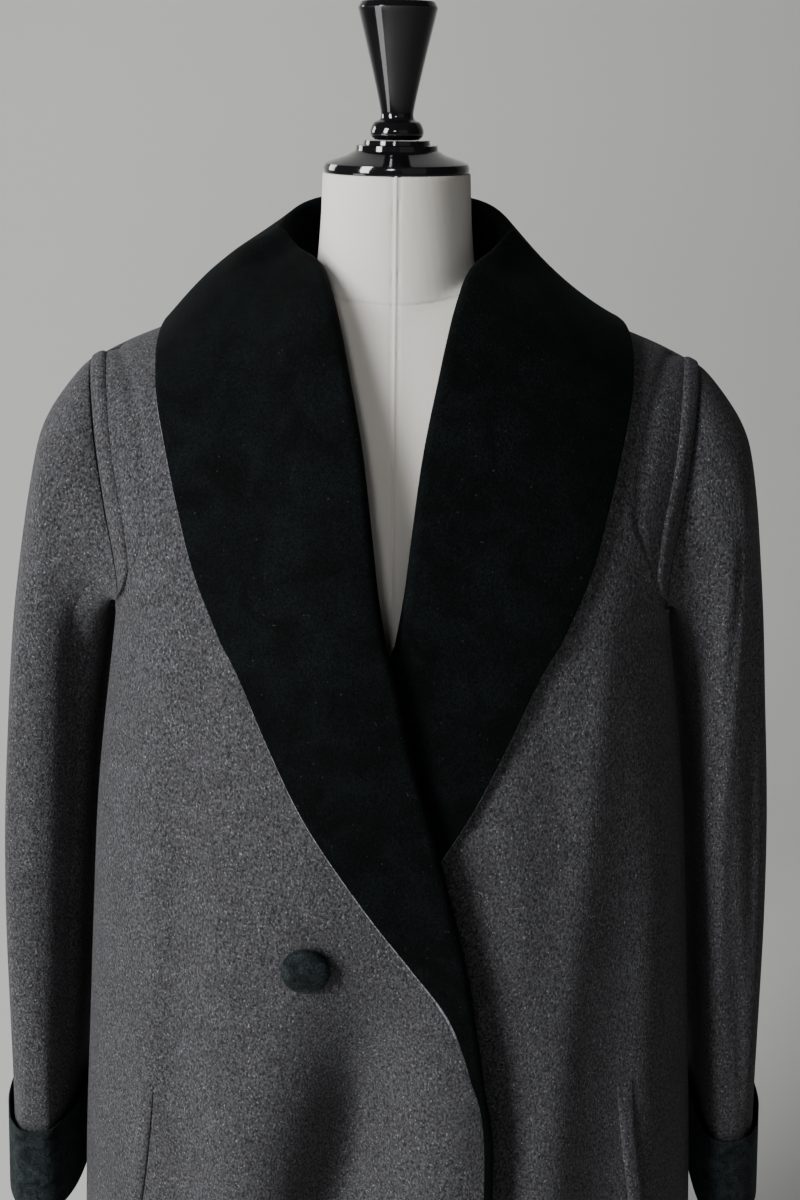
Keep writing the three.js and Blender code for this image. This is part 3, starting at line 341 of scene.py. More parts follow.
def coat_point(x, level, side, out=0.0, creased=True):
    """A point of the coat, moved out by this much."""
    x, level = np.broadcast_arrays(np.asarray(x, float), np.asarray(level, float))
    half = along(BODY, "level", "half", level)
    depth = along(BODY, "level", "front" if side == FRONT else "back", np.minimum(level, UNDERARM))
    square = along(BODY, "level", "square", level)
    share = np.minimum(np.abs(x) / half, 1)
    round_ = (1 - share**square) ** (1 / square)
    over = np.clip((level - UNDERARM) / (SHOULDER_LEVEL - UNDERARM), 0, 1)
    curve = 2 / (CHEST_CURVE if side == FRONT else BACK_CURVE)
    angle = over * math.pi / 2
    back = np.clip(np.cos(angle), 0, 1) ** curve
    push = out + fold_out(side, x, level) * round_
    if creased:
        push = push + add_up(CREASES, side, x, level, ("at", "level", "wide", "long", "lean")) * round_
    top = along(SHOULDER, "out", "top", np.abs(x)) + SLOPE_LIFT * out
    high = UNDERARM + (top - UNDERARM) * np.sin(angle) ** curve
    y = side * (GAP / 2 + (depth + push) * round_ * back)
    return np.stack([x * (half + out) / half, y, np.where(level <= UNDERARM, level, high)], -1)


def lift_of(hand, x, level):
    """How far the right front stands over the left one where it laps."""
    if hand == LEFT:
        return 0 * (x + level)
    left_edge = -along(FRONT_EDGE, "level", "across", level)
    return LAP * smooth(left_edge - LAP_SLOPE, left_edge - LAP_MARGIN, x)


def row_level(row, top=SHOULDER_LEVEL):
    """The level of a row of the front or the back."""
    row = np.asarray(row, float)
    up = np.clip((row - LOW_ROWS) / HIGH_ROWS, 0, 1)
    low = mix(HEM, UNDERARM, row / LOW_ROWS)
    return np.where(row <= LOW_ROWS, low, mix(UNDERARM, top, (1 - np.cos(math.pi * up)) / 2))


def side_edge(row):
    """Level and place across of the side seam, and above it the armhole, at a row."""
    row = np.asarray(row, float)
    low = row <= LOW_ROWS
    step = np.maximum(row - LOW_ROWS, 0)
    level = np.where(low, row_level(row), along(ARMHOLE, "step", "level", step))
    out = np.where(low, along(BODY, "level", "half", level), along(ARMHOLE, "step", "out", step))
    return level, out


def angle_at(x, level):
    """The angle round the body of a place across."""
    half, square = along(BODY, "level", "half", level), along(BODY, "level", "square", level)
    angle = np.arccos(np.minimum(np.abs(x) / half, 1) ** (square / 2))
    return np.where(x < 0, angle, math.pi - angle)


def place_between(from_x, from_level, to_x, to_level, share, level, from_side):
    """Place across and level, a share of the way round the body between two places."""
    angle = mix(angle_at(from_x, from_level), angle_at(to_x, to_level), share)
    here = mix(from_level, level, smooth(0, FAN, from_side))
    half, square = along(BODY, "level", "half", here), along(BODY, "level", "square", here)
    cosine = np.cos(angle)
    return -half * np.sign(cosine) * np.abs(cosine) ** (2 / square), here


def front_place(hand, row, share):
    """Place across and level of a point of one front."""
    level, out = side_edge(row)
    end = row_level(row)
    edge = hand * (EDGE_INSET - along(FRONT_EDGE, "level", "across", end))
    return place_between(hand * out, level, edge, end, share, end, share)


def front_point(hand, row, share, out=0.0):
    """A point of one front, over what it laps."""
    x, level = front_place(hand, row, share)
    return coat_point(x, level, FRONT, out + lift_of(hand, x, level))


def seam_dip(distance, depth=1.0, width=3.2):
    """Cloth sinks a little at a seam."""
    return -depth * bump(distance, 0, width)


# %% Sleeve surface


def sleeve_point(hand, round_, run, out=0.0):
    """A point of the sleeve: degrees round from the shoulder over the front, and how far down."""
    get = {c: along(SLEEVE, "run", c, run) for c in SLEEVE if c != "run"}
    angle = np.radians(round_)

    def bend(value):
        return np.sign(value) * np.abs(value) ** (2 / SLEEVE_SQUARE)

    top_out = get["topOut"] - (LEFT_CLOSER * smooth(3, 7, run) if hand == LEFT else 0)
    width = np.hypot(top_out - get["lowOut"], get["topZ"] - get["lowZ"])
    keys = ("round", "run", "turn", "length", "slant")
    push = out + add_up(SLEEVE_FOLDS, hand, round_, run, keys)
    push = push + add_up(SLEEVE_CREASES, hand, round_, run, keys)
    deep = push + np.where(np.sin(angle) > 0, get["front"], get["back"])
    up = bend(np.cos(angle)) * (0.5 * width + push) / width
    wrap = SLEEVE_WRAP * np.sin(angle) ** 2 * (1 - np.cos(angle)) / 2 * smooth(3, 7, run)
    return np.stack([
        hand * ((top_out + get["lowOut"]) / 2 + up * (top_out - get["lowOut"]) - wrap),
        get["mid"] - bend(np.sin(angle)) * deep,
        (get["topZ"] + get["lowZ"]) / 2 + up * (get["topZ"] - get["lowZ"]),
    ], -1)


def armhole_point(hand, column):
    """The point of the armhole that a column of the sleeve is sewn to."""
    level, edge = side_edge(LOW_ROWS + np.abs(HIGH_ROWS - column))
    front = coat_point(hand * edge, level, FRONT)
    back = coat_point(hand * edge, level, BACK)
    point = np.where((column <= HIGH_ROWS)[..., None], front, back)
    point[..., 0] += hand * SLEEVE_GAP
    return point


# %% Collar surface


def collar_line(run):
    """The collar's measures at each run along it."""
    line = {c: along(COLLAR, "run", c, run) for c in COLLAR if c != "run"}
    line["stand"] = np.maximum(0, line["stand"])
    line["under"] = np.clip(line["under"], 0, 1)
    behind = run < SHOULDER_RUN
    seam = along(NECK_SEAM, "out", "turn", np.abs(line["across"]))
    line["turn"] = np.where(behind, seam, line["turn"])
    edge = along(FRONT_EDGE, "level", "across", SHOULDER_LEVEL + line["turn"])
    line["across"] = np.where(behind, line["across"], edge)
    line["arch"] = bump(run, SHOULDER_RUN, 2.4)
    line["loose"] = LOOSE + LAP_LOOSE * smooth(10, 12, run) * (1 - smooth(16, 18, run))
    line["run"] = run
    return line


def fall_point(hand, line, share, out, inside=0.0):
    """A point of the collar's fall, from the roll at 0 to the outer edge at 1."""
    x = -hand * mix(line["across"] - inside, line["edge"], share)
    turn = mix(line["turn"], line["edgeTurn"], share)
    level = SHOULDER_LEVEL - np.abs(turn)
    lift = np.where(turn < 0, lift_of(hand, x, level), 0)
    arch = FULL[hand] * line["arch"] * np.sin(math.pi * np.minimum(share, 1))
    push = out + lift + arch
    front = coat_point(x, level, FRONT, push)
    back = coat_point(x, level, BACK, push)
    point = np.where((turn < 0)[..., None], front, back)
    point[..., 2] += line["stand"] * np.maximum(0, 1 - share) ** 1.2
    return point


def unit(vector):
    """The same direction with a length of 1."""
    return vector / np.maximum(np.linalg.norm(vector, axis=-1, keepdims=True), 1e-9)


def collar_wave(hand, run, share):
    """Soft creases of the fall, none at its outer edge nor below the button."""
    keys = ("run", "share", "length", "wide", "slant")
    wave = add_up(COLLAR_CREASES, hand, run, share, keys)
    return wave * smooth(0, 0.2, 1 - share) * smooth(18, 15, run)


def collar_points(hand, run, fall_steps=44, roll_steps=12, leg_steps=4):
    """Rows along the collar; columns from the outer edge to the roll, round it and behind."""
    line = collar_line(run[:, None])
    over = UNDER_WOOL + line["loose"] + LOOSE + VELVET + VELVET_OPENS * line["stand"]
    share = np.linspace(1, 0, fall_steps + 1)[None, :]
    fall = fall_point(hand, line, share, over + collar_wave(hand, run[:, None], share))
    roll, foot = fall[:, -1], fall_point(hand, line, np.zeros((len(run), 1)), 0)[:, 0]
    inside = fall_point(hand, line, np.zeros((len(run), 1)), 0, SURFACE_STEP)[:, 0]
    normal = unit(roll - foot)
    level_out = foot * [1, 1, 0]
    upright = np.zeros_like(normal) + [0, 0, 1]
    near = smooth(7.6, 6.2, run)[:, None]
    normal = unit(mix(normal, upright, near))
    across = unit(mix(inside - foot, unit(level_out) * SURFACE_STEP, near))
    across = unit(across - normal * (across * normal).sum(-1, keepdims=True) * near)
    normal = unit(normal - across * (across * normal).sum(-1, keepdims=True))
    radius = ROLL_RADIUS + (line["under"] * (line["stand"] + line["loose"] - LOOSE)) / 2
    centre = roll - normal * radius
    sweep = mix(math.pi / 2, math.pi, line["under"])
    columns = [fall]
    for step in range(1, roll_steps + 1):
        turn = sweep * step / roll_steps
        arc = centre - across * radius * np.sin(turn) + normal * radius * np.cos(turn)
        columns.append(arc[:, None])
    leg = mix(line["stand"] + over - radius - LEG_SHORT, FACING_TURN, line["under"])
    for step in range(1, leg_steps + 1):
        far = leg * step / leg_steps
        tip = arc - across * far * np.cos(sweep) - normal * far * np.sin(sweep)
        columns.append(tip[:, None])
    return np.concatenate(columns, 1)


def collar_runs(per_row):
    """Runs round the back of the neck, then evenly down the rows of the front."""
    fine = np.linspace(SHOULDER_RUN, LAST_RUN, 6000)
    drop = -along(COLLAR, "run", "turn", fine)
    rows = np.linspace(TOP_ROW, 0, TOP_ROW * per_row + 1)
    front = np.interp(SHOULDER_LEVEL - row_level(rows), drop, fine)
    return np.concatenate([np.linspace(0, SHOULDER_RUN, 44)[:-1], front])


print("surfaces ready; middle of the chest at", coat_point(0, 1150, FRONT).round(1))

# %% [markdown]
# ## Cloth as a mesh
#
# A panel of cloth is flat before it is sewn, so each one starts as a flat grid and its
# points are laid on the coat's surface. A Solidify modifier then gives it the
# thickness of its cloth on the inside, and a small Bevel softens the cut edges.

# %% From a grid of points to a piece of cloth
PIECES, MEASURED = {}, {}


def grid_mesh(name, points, closed=False, flip=False):
    """A bmesh grid laid on rows and columns of points, in millimetres."""
    rows, columns = points.shape[:2]
    mesh = bpy.data.meshes.new(name)
    bm = bmesh.new()
    bm.loops.layers.uv.new("cut")
    bmesh.ops.create_grid(bm, x_segments=columns - 1, y_segments=rows - 1, size=1, calc_uvs=True)
    spread = [(columns - 1) / 2, (rows - 1) / 2]
    for vert in bm.verts:
        column, row = round((vert.co.x + 1) * spread[0]), round((vert.co.y + 1) * spread[1])
        vert.co = points[row, column] * MM
    if closed:
        bmesh.ops.remove_doubles(bm, verts=bm.verts, dist=1e-6)
    if flip:
        bmesh.ops.reverse_faces(bm, faces=bm.faces)
    for face in bm.faces:
        face.smooth = True
    bm.to_mesh(mesh)
    bm.free()
    return mesh


def place(name, mesh, node):
    """Put a finished mesh in the scene: it stands for its node and moves with the body."""
    piece = bpy.data.objects.new(name, mesh)
    bpy.context.scene.collection.objects.link(piece)
    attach(piece, "root")
    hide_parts(node)
    PIECES[name] = piece
    return piece


def outward(points, inside):
    """True where the grid's own normals point away from a point inside it."""
    rows, columns = points.shape[0] // 2, points.shape[1] // 2
    here = points[rows, columns]
    normal = np.cross(points[rows, columns + 1] - here, points[rows + 1, columns] - here)
    return np.dot(normal, here - inside) > 0


def cloth(node, points, thick, inside, closed=False, free=False):
    """A panel with the thickness of its cloth. Cut edges that nothing is sewn to are free."""
    mesh = grid_mesh(node, points, closed, not outward(points, np.array(inside, float)))
    piece = place("cloth_" + node, mesh, node)
    across = np.linalg.norm(np.diff(points, axis=1), axis=-1)
    down = np.linalg.norm(np.diff(points, axis=0), axis=-1)
    side_a, side_b = points[1:, 1:] - points[:-1, :-1], points[1:, :-1] - points[:-1, 1:]
    area = np.linalg.norm(np.cross(side_a, side_b), axis=-1).sum() / 2
    MEASURED[piece.name] = [round(float(v), 4) for v in (
        across.sum(1).max() / 1000, down.sum(0).max() / 1000, area / 1e6)]
    wall = piece.modifiers.new("thickness", "SOLIDIFY")
    wall.thickness = thick * MM
    wall.offset = -1
    if free:
        edge = piece.modifiers.new("soft edge", "BEVEL")
        edge.width = 0.4 * thick * MM
        edge.segments = 2
        edge.limit_method = "ANGLE"
        edge.angle_limit = math.radians(55)
    walled = bpy.data.meshes.new_from_object(piece.evaluated_get(bpy.context.evaluated_depsgraph_get()))
    piece.modifiers.clear()
    piece.data = walled
    walled.set_sharp_from_angle(angle=math.radians(50))
    print(piece.name, "rows and columns", points.shape[:2])
    return piece


# %% [markdown]
# ## Fronts and back
#
# The fronts are cut from shoulder to hem in one. The right one laps over the left.
# The cloth sinks a little towards the side and armhole seams.

# %% The two fronts
FRONT_ROWS, FRONT_COLUMNS = 170, 84
# Columns stand closer at the side, where the band and the armhole seam need them
CLOSER_AT_SIDE = 1.25
# The front is pressed in beside the band: how far past it, how deep and how wide
PRESSED = (1.4, 1.7, 3.8)
SIDES = {"right": RIGHT, "left": LEFT}


def band_width(row):
    """Width of the stitched band at a row of the armhole; its foot is rounded."""
    down = (BAND["topStep"] - (row - LOW_ROWS)) / (BAND["topStep"] - BAND["lowStep"])
    foot = np.sqrt(np.clip(1 - ((down - BAND["foot"]) / (1 - BAND["foot"])) ** 2, 0.02, 1))
    return mix(BAND["wideTop"], BAND["wideLow"], down) * np.where(down > BAND["foot"], foot, 1)


def front_points(hand):
    """Rows and columns of points of one front."""
    row = np.linspace(0, TOP_ROW, FRONT_ROWS + 1)[:, None]
    share = np.linspace(0, 1, FRONT_COLUMNS + 1)[None, :] ** CLOSER_AT_SIDE
    x, level = front_place(hand, row, share)
    _, edge = side_edge(row)
    off = np.abs(hand * edge - x)
    step = row - LOW_ROWS
    beside = smooth(BAND["lowStep"] - 0.4, BAND["lowStep"] + 0.2, step)
    past = off - band_width(row) - BAND["inset"]
    pressed = seam_dip(past - PRESSED[0], *PRESSED[1:]) * beside
    return front_point(hand, row, share, seam_dip(off) + pressed - SINK)


for word, hand in SIDES.items():
    cloth("front_" + word, front_points(hand), WOOL, (hand * 100, 0, 900))

# %% The back, cut in one
BACK_COLUMNS = [0, 34, 60, 75, 84, 118, 156, 194, 228]
BACK_ACROSS = 120


def back_points():
    """Rows and columns of points of the back."""
    row = np.linspace(0, TOP_ROW, FRONT_ROWS + 1)[:, None]
    places = np.array([-x for x in BACK_COLUMNS[:0:-1]] + BACK_COLUMNS, float)
    places = np.interp(np.linspace(0, 1, BACK_ACROSS + 1), np.linspace(0, 1, len(places)), places)[None]
    side = angle_at(places[0, 0], SHOULDER_LEVEL)
    share = (angle_at(places, SHOULDER_LEVEL) - side) / (math.pi - 2 * side)
    level, edge = side_edge(row)
    neck = np.maximum(0, along(NECK_SEAM, "out", "turn", np.abs(places)))
    middle = row_level(row, SHOULDER_LEVEL - neck)
    near = np.minimum(share, 1 - share)
    x, here = place_between(-edge, level, edge, level, share, middle, near)
    x = np.where(row == TOP_ROW, places, x)
    dip = seam_dip(np.abs(edge - np.abs(x))) - SINK
    return coat_point(x, here, BACK, dip)


cloth("back", back_points(), WOOL, (0, 0, 900))

# %% [markdown]
# ## Sleeves
#
# A two-piece sleeve: the upper sleeve carries the shoulder, and the under sleeve
# shows at the back and along the body. Both are set into the armhole.

# %% Upper and under sleeves
SLEEVE_ROWS = 150
SEAM_ROUND = 8 / ARMHOLE_STEPS
# Round the sleeve in millimetres, depth and width of its seams' dip, and how rows close up at its head
SLEEVE_ROUND, SLEEVE_SEAM, CLOSER_AT_HEAD = 480, (0.7, 4.0), 1.1
# The sleeve's head is pressed back beside the band: depth, run, length, middle column
HEAD_DEEP, HEAD_RUN, HEAD_LONG, HEAD_COLUMN = 2.3, 0.16, 0.2, 5.8
STRIP = {"sleeve_upper_": (-SEAM_ROUND, SEAM_ROUND, 70), "sleeve_under_": (SEAM_ROUND, 1 - SEAM_ROUND, 50)}


def sleeve_points(hand, start, end, columns):
    """Rows and columns of points of one strip of the sleeve."""
    run = LAST_SLEEVE_RUN * np.linspace(0, 1, SLEEVE_ROWS + 1)[:, None] ** CLOSER_AT_HEAD
    turn = np.linspace(start, end, columns + 1)[None, :]
    near = np.minimum(np.abs(turn - start), np.abs(turn - end)) * SLEEVE_ROUND
    plain = sleeve_point(hand, turn * 360, run, seam_dip(near, *SLEEVE_SEAM) - SLEEVE_SINK)
    column = np.broadcast_to(np.mod(turn, 1) * ARMHOLE_STEPS, plain.shape[:2])
    armhole = armhole_point(hand, column)
    points = mix(armhole, plain, smooth(0, SET_RUN, run)[..., None])
    beside = smooth(5.4, 3.4, np.abs(column - HEAD_COLUMN))
    pressed = HEAD_DEEP * bump(run, HEAD_RUN, HEAD_LONG) * beside
    points[..., 1] += pressed
    return points


for word, hand in SIDES.items():
    for part, (start, end, columns) in STRIP.items():
        middle = sleeve_point(hand, 90.0, 6.0)
        middle = mix(middle, sleeve_point(hand, 270.0, 6.0), 0.5)
        cloth(part + word, sleeve_points(hand, start, end, columns), WOOL, middle)

# %% [markdown]
# ## Collar
#
# Each half of the shawl collar is one piece of velvet from the middle of the back of
# the neck to the hem. It falls over the chest down to the button, and below that it
# is the facing that turns round the front edge. A wool under collar lies beneath it.

# %% Velvet collar and facing
for word, hand in SIDES.items():
    runs = collar_runs(7)
    points = collar_points(hand, runs)
    points[0, :, 0] = hand * GAP / 2
    cloth("collar_" + word, points, VELVET, (hand * 60, 0, 1000), free=True)

# %% Wool under collar
for word, hand in SIDES.items():
    runs = collar_runs(5)
    runs = runs[runs < UNDER_COLLAR_END]
    line = collar_line(runs[:, None])
    reach = np.hypot(line["edge"] - line["across"], line["edgeTurn"] - line["turn"])
    share = np.linspace(1, 0, 31)[None, :]
    share = share + (share == 1) * UNDER_SHOWS / reach + (share == 0) * UNDER_INSET / reach
    wave = np.minimum(0, collar_wave(hand, runs[:, None], np.minimum(share, 1)))
    over = UNDER_WOOL + line["loose"] + UNDER_OPENS * line["stand"]
    points = fall_point(hand, line, share, over + wave)
    points[0, :, 0] = hand * GAP / 2
    cloth("under_collar_" + word, points, UNDER_WOOL, (hand * 60, 0, 1000), free=True)

# %% [markdown]
# ## Cuffs, bands and pocket welts
#
# The velvet cuff is turned back over the sleeve's end. The band along the armhole and
# the pocket welt are wool on wool, stitched down along their edges.

# %% Velvet cuffs
CUFF_OUT, CUFF_TUCK, CUFF_COLUMNS, CUFF_ROWS = 4.9, 16, 120, 34


def cuff_points(hand):
    """The cuff's outside, its turned end and the tuck inside, all round."""
    path = [(mix(CUFF_TOP, SLEEVE_END, share), CUFF_OUT + share) for share in np.linspace(0, 1, CUFF_ROWS)]
    for turn in np.linspace(0, math.pi, 13)[1:]:
        inwards = (1 - math.cos(turn)) / 2
        path.append((SLEEVE_END - CUFF_OUT * math.sin(turn), mix(CUFF_OUT + 1, -CUFF_OUT, inwards)))
    path += [(SLEEVE_END + CUFF_TUCK * share, -CUFF_OUT) for share in (0.4, 0.7, 1)]
    height = np.array([z for z, _ in path])[:, None]
    out = np.array([o for _, o in path])[:, None]
    round_ = np.linspace(0, 360, CUFF_COLUMNS + 1)[None, :]
    last, before = SLEEVE["topZ"][-1], SLEEVE["topZ"][-2]
    run = np.minimum(LAST_SLEEVE_RUN - (height - last) / (before - last), LAST_SLEEVE_RUN)
    points = sleeve_point(hand, round_, run, out)
    points[..., 2] = height
    return points


for word, hand in SIDES.items():
    inside = mix(sleeve_point(hand, 90.0, 11.5), sleeve_point(hand, 270.0, 11.5), 0.5)
    cloth("cuff_" + word, cuff_points(hand), VELVET, inside, closed=True, free=True)

# %% Stitched bands along the armholes
def surface_normal(hand, x, level, step=1.5):
    """The direction straight out of the front."""
    here = coat_point(x, level, FRONT, lift_of(hand, x, level), creased=False)
    over = coat_point(x + step, level, FRONT, lift_of(hand, x + step, level), creased=False) - here
    up = coat_point(x, level + step, FRONT, lift_of(hand, x, level + step), creased=False) - here
    return unit(np.cross(over, up))


def band_points(hand):
    """The band, domed a little between its two stitched edges."""
    down = np.linspace(0, 1, 141)[:, None]
    row = LOW_ROWS + mix(BAND["topStep"], BAND["lowStep"], down)
    over = np.linspace(0, 1, 25)[None, :]
    level, out = side_edge(row)
    end = row_level(row)
    edge = hand * (EDGE_INSET - along(FRONT_EDGE, "level", "across", end))
    share = (BAND["inset"] + band_width(row) * over) / np.abs(hand * out - edge)
    x, here = place_between(hand * out, level, edge, end, share, end, share)
    height = 0.2 + 2.7 * (1 - np.abs(2 * over - 1) ** 4)
    base = coat_point(x, here, FRONT, lift_of(hand, x, here) - SINK)
    return base + surface_normal(hand, x, here) * height[..., None]


for word, hand in SIDES.items():
    cloth("armhole_band_" + word, band_points(hand), BAND["thick"], (hand * 100, 0, 1200), free=True)

# %% Pocket welts
def welt_points(hand):
    """The welt, which stands up a little below its top end."""
    down = np.linspace(0, 1, 71)[:, None]
    over = np.linspace(0, 1, 17)[None, :]
    x = hand * (mix(POCKET["topAt"], POCKET["lowAt"], down**1.3) + POCKET["wide"] * (over - 0.5))
    level = mix(POCKET["top"], POCKET["low"], down) + 0 * over
    rise = smooth(0, 0.3, down) * smooth(0, 0.03, 1 - down)
    out = 0.3 + (0.4 + 2.2 * rise) * (1 - np.abs(2 * over - 1) ** 4)
    base = coat_point(x, level, FRONT, lift_of(hand, x, level))
    return base + surface_normal(hand, x, level) * out[..., None]


for word, hand in SIDES.items():
    cloth("pocket_welt_" + word, welt_points(hand), POCKET["thick"], (hand * 100, 0, 700), free=True)

# %% [markdown]
# ## Turned and domed pieces
#
# The button is a domed mould covered in velvet. The cap, the knob, the pole and the
# base are turned on a lathe, so a profile is spun round its axis, as on the lathe.

# %% Spin a profile
def spun(name, profile, node, steps=96, axis_up=True, centre=(0, 0, 0)):
    """A turned piece: a profile of radius and height, spun round its axis."""
    bm = bmesh.new()
    line = [bm.verts.new((r * MM, 0, z * MM)) for r, z in profile]
    edges = [bm.edges.new(pair) for pair in zip(line, line[1:])]
    bmesh.ops.spin(bm, geom=line + edges, cent=(0, 0, 0), axis=(0, 0, 1), steps=steps,
                   angle=math.tau, use_merge=True)
    bmesh.ops.remove_doubles(bm, verts=bm.verts, dist=1e-7)
    if not axis_up:
        bmesh.ops.rotate(bm, verts=bm.verts, cent=(0, 0, 0), matrix=Matrix.Rotation(math.pi / 2, 3, "X"))
    bmesh.ops.translate(bm, verts=bm.verts, vec=centre)
    bmesh.ops.recalc_face_normals(bm, faces=bm.faces)
    for face in bm.faces:
        face.smooth = True
    mesh = bpy.data.meshes.new(name)
    bm.to_mesh(mesh)
    bm.free()
    mesh.set_sharp_from_angle(angle=math.radians(38))
    print(name, len(mesh.polygons), "faces")
    return place(name, mesh, node)


def eased(profile, per_span=6):
    """More points on a smooth curve through a turned profile."""
    points = np.array(profile, float)
    steps = np.arange(len(points), dtype=float)
    data = table("at r z", [(s, *p) for s, p in zip(steps, points)])
    fine = np.linspace(0, len(points) - 1, per_span * (len(points) - 1) + 1)
    return list(zip(along(data, "at", "r", fine), along(data, "at", "z", fine)))


# %% Covered button
low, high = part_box("button")
radius, thick = BUTTON["radius"], BUTTON["thick"]
dome = [(0, thick)] + [
    (radius * math.sin(turn), thick * 0.34 + thick * 0.66 * math.cos(turn) ** 0.8)
    for turn in np.linspace(0.05, math.pi / 2 - 0.04, 22)
] + [(radius, thick * 0.3), (radius * 0.985, thick * 0.2), (radius * 0.94, thick * 0.06),
     (radius * 0.86, 0), (0, 0)]
centre = ((low[0] + high[0]) / 2, high[1], (low[2] + high[2]) / 2)
spun("covered_button", dome, "button", axis_up=False, centre=centre)

# %% Cap, knob and stand
CAP = [(52, 0), (52.6, 3), (51.5, 6), (47, 8), (36, 11.5), (29.6, 15), (29.2, 18.5), (24, 19.2), (23.4, 22)]
KNOB = [(16, 22.4), (18.6, 25), (19, 29), (16.5, 34), (12, 37), (12.6, 46), (19.5, 76), (27.2, 107),
        (27.8, 110), (26.4, 113), (19, 115)]
up = ((NECK_TOP + GAP) * MM,)
spun("turned_cap", [(0, 0)] + CAP + [(0, 22)], "neck_cap", centre=(0, 0, *up))
spun("turned_knob", [(0, 22.4)] + eased(KNOB[:-1]) + [(25.6, 114.2), (22, 115), (0, 115)], "cap_knob",
     centre=(0, 0, *up))
pole_low, pole_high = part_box("stand_pole")
top, foot = pole_high[2] / MM, pole_low[2] / MM
spun("turned_pole", [(0, foot), (17, foot), (17, top - 22), (19, top - 18), (26, top - 16), (30.5, top - 15),
                     (32, top - 13), (32, top - 2), (31, top), (0, top)], "stand_pole")
base_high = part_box("stand_base")[1]
tall, wide = base_high[2] / MM, base_high[1] / MM
spun("turned_base", [(0, 0), (wide - 1.5, 0), (wide, 1.5), (wide, tall * 0.42), (wide - 1.5, tall * 0.5),
                     (wide - 9, tall * 0.75), (wide - 13, tall * 0.8), (120, tall * 0.9), (60, tall),
                     (0, tall)],
     "stand_base", steps=160)

# %% [markdown]
# ## The dress form
#
# Canvas is stretched over a padded torso. One closed tube of rings makes the torso,
# a turned neck stands in it, and a voxel remesh joins the two as the padding does.
# The seams are then pressed in as narrow grooves.

# %% Torso and neck as one skin
FORM = table("level half front back square", [
    (730, 150, 108, 104, 2.3), (830, 166, 112, 116, 2.3), (920, 152, 108, 104, 2.3),
    (1020, 122, 98, 82, 2.3), (1100, 140, 116, 92, 2.4), (1190, 166, 125, 98, 2.5),
    (1260, 184, 125, 98, 2.5), (1390, 200, 125, 98, 2.5),
])
FORM_BOTTOM, FORM_PLATE, FORM_SEAT, FORM_BACK_CURVE = 730, 171, 0.9, 2.5
SKIN_STEP, NECK_FOOT = 0.0036, 1.38  # both in metres
NECK = [(52, 1390), (60, 1408), (58.5, 1424), (57.5, 1438), (54.8, 1468), (53.4, 1500)]


def form_point(side, share, level):
    """A point of the padded torso."""
    half, square = along(FORM, "level", "half", level), along(FORM, "level", "square", level)
    depth = along(FORM, "level", "front" if side == FRONT else "back", np.minimum(level, UNDERARM))
    plate = np.arccos((np.minimum(half, FORM_PLATE) / half) ** (square / 2))
    cosine = np.cos(mix(plate, math.pi - plate, (1 + share) / 2))
    x = -half * np.sign(cosine) * np.abs(cosine) ** (2 / square)
    round_ = np.maximum(0, 1 - (np.abs(x) / half) ** square) ** (1 / square)
    over = np.clip((level - UNDERARM) / (SHOULDER_LEVEL - UNDERARM), 0, 1)
    angle = over * math.pi / 2
    curve = 2 / (CHEST_CURVE if side == FRONT else FORM_BACK_CURVE)
    back = np.clip(np.cos(angle), 0, 1) ** curve
    top = along(SHOULDER, "out", "top", np.abs(x)) - SLOPE_LIFT * (WOOL + FORM_SEAT)
    z = np.where(level <= UNDERARM, level, mix(UNDERARM, top, np.sin(angle) ** curve))
    return np.stack([x, side * (1 + depth * round_ * back), z], -1)


def torso_points():
    """Rings of points round the torso, from its lower end to the shoulders."""
    share = np.linspace(-1, 1, 61)[None, :]
    turn = np.linspace(0, 1, 61)
    level = np.concatenate([
        np.linspace(FORM_BOTTOM, UNDERARM, 80)[:-1],
        mix(UNDERARM, SHOULDER_LEVEL, (1 - np.cos(math.pi * turn)) / 2),
    ])[:, None]
    front, back = form_point(FRONT, share, level), form_point(BACK, -share, level)
    return np.concatenate([front, back, front[:, :1]], 1)


def form_mesh():
    """The closed torso and the neck that stands in it, in one mesh."""
    mesh = grid_mesh("form", torso_points(), closed=True)
    bm = bmesh.new()
    bm.from_mesh(mesh)
    ends = [edge for edge in bm.edges if edge.is_boundary]
    bmesh.ops.holes_fill(bm, edges=ends, sides=0)
    line = [bm.verts.new((r * MM, 0, z * MM)) for r, z in [*eased(NECK), (53.2, 1506), (0, 1506)]]
    line.insert(0, bm.verts.new((0, 0, NECK_FOOT)))
    edges = [bm.edges.new(pair) for pair in zip(line, line[1:])]
    bmesh.ops.spin(bm, geom=line + edges, cent=(0, 0, 0), axis=(0, 0, 1), steps=96,
                   angle=math.tau, use_merge=True)
    bmesh.ops.remove_doubles(bm, verts=bm.verts, dist=1e-6)
    bmesh.ops.recalc_face_normals(bm, faces=bm.faces)
    bm.to_mesh(mesh)
    bm.free()
    return mesh


form = place("canvas_form", form_mesh(), "form_torso")
skin = form.modifiers.new("skin", "REMESH")
skin.mode = "VOXEL"
skin.voxel_size = SKIN_STEP
ease = form.modifiers.new("ease", "SMOOTH")
ease.factor, ease.iterations = 0.5, 6
skinned = bpy.data.meshes.new_from_object(form.evaluated_get(bpy.context.evaluated_depsgraph_get()))
form.modifiers.clear()
form.data = skinned
print("canvas skin:", len(skinned.polygons), "faces")

# %% Seams of the canvas
NECK_SEAM_FRONT, NECK_SEAM_BACK, PRINCESS = 1413, 1446, 80
# Faces this near a seam are cut finer, in two rounds, on the chest and neck alone.
# FAR stands for a point that the seam doesn't reach
FINER_WITHIN, CHEST_FROM, FAR = (5.0, 2.6), 1180, 99


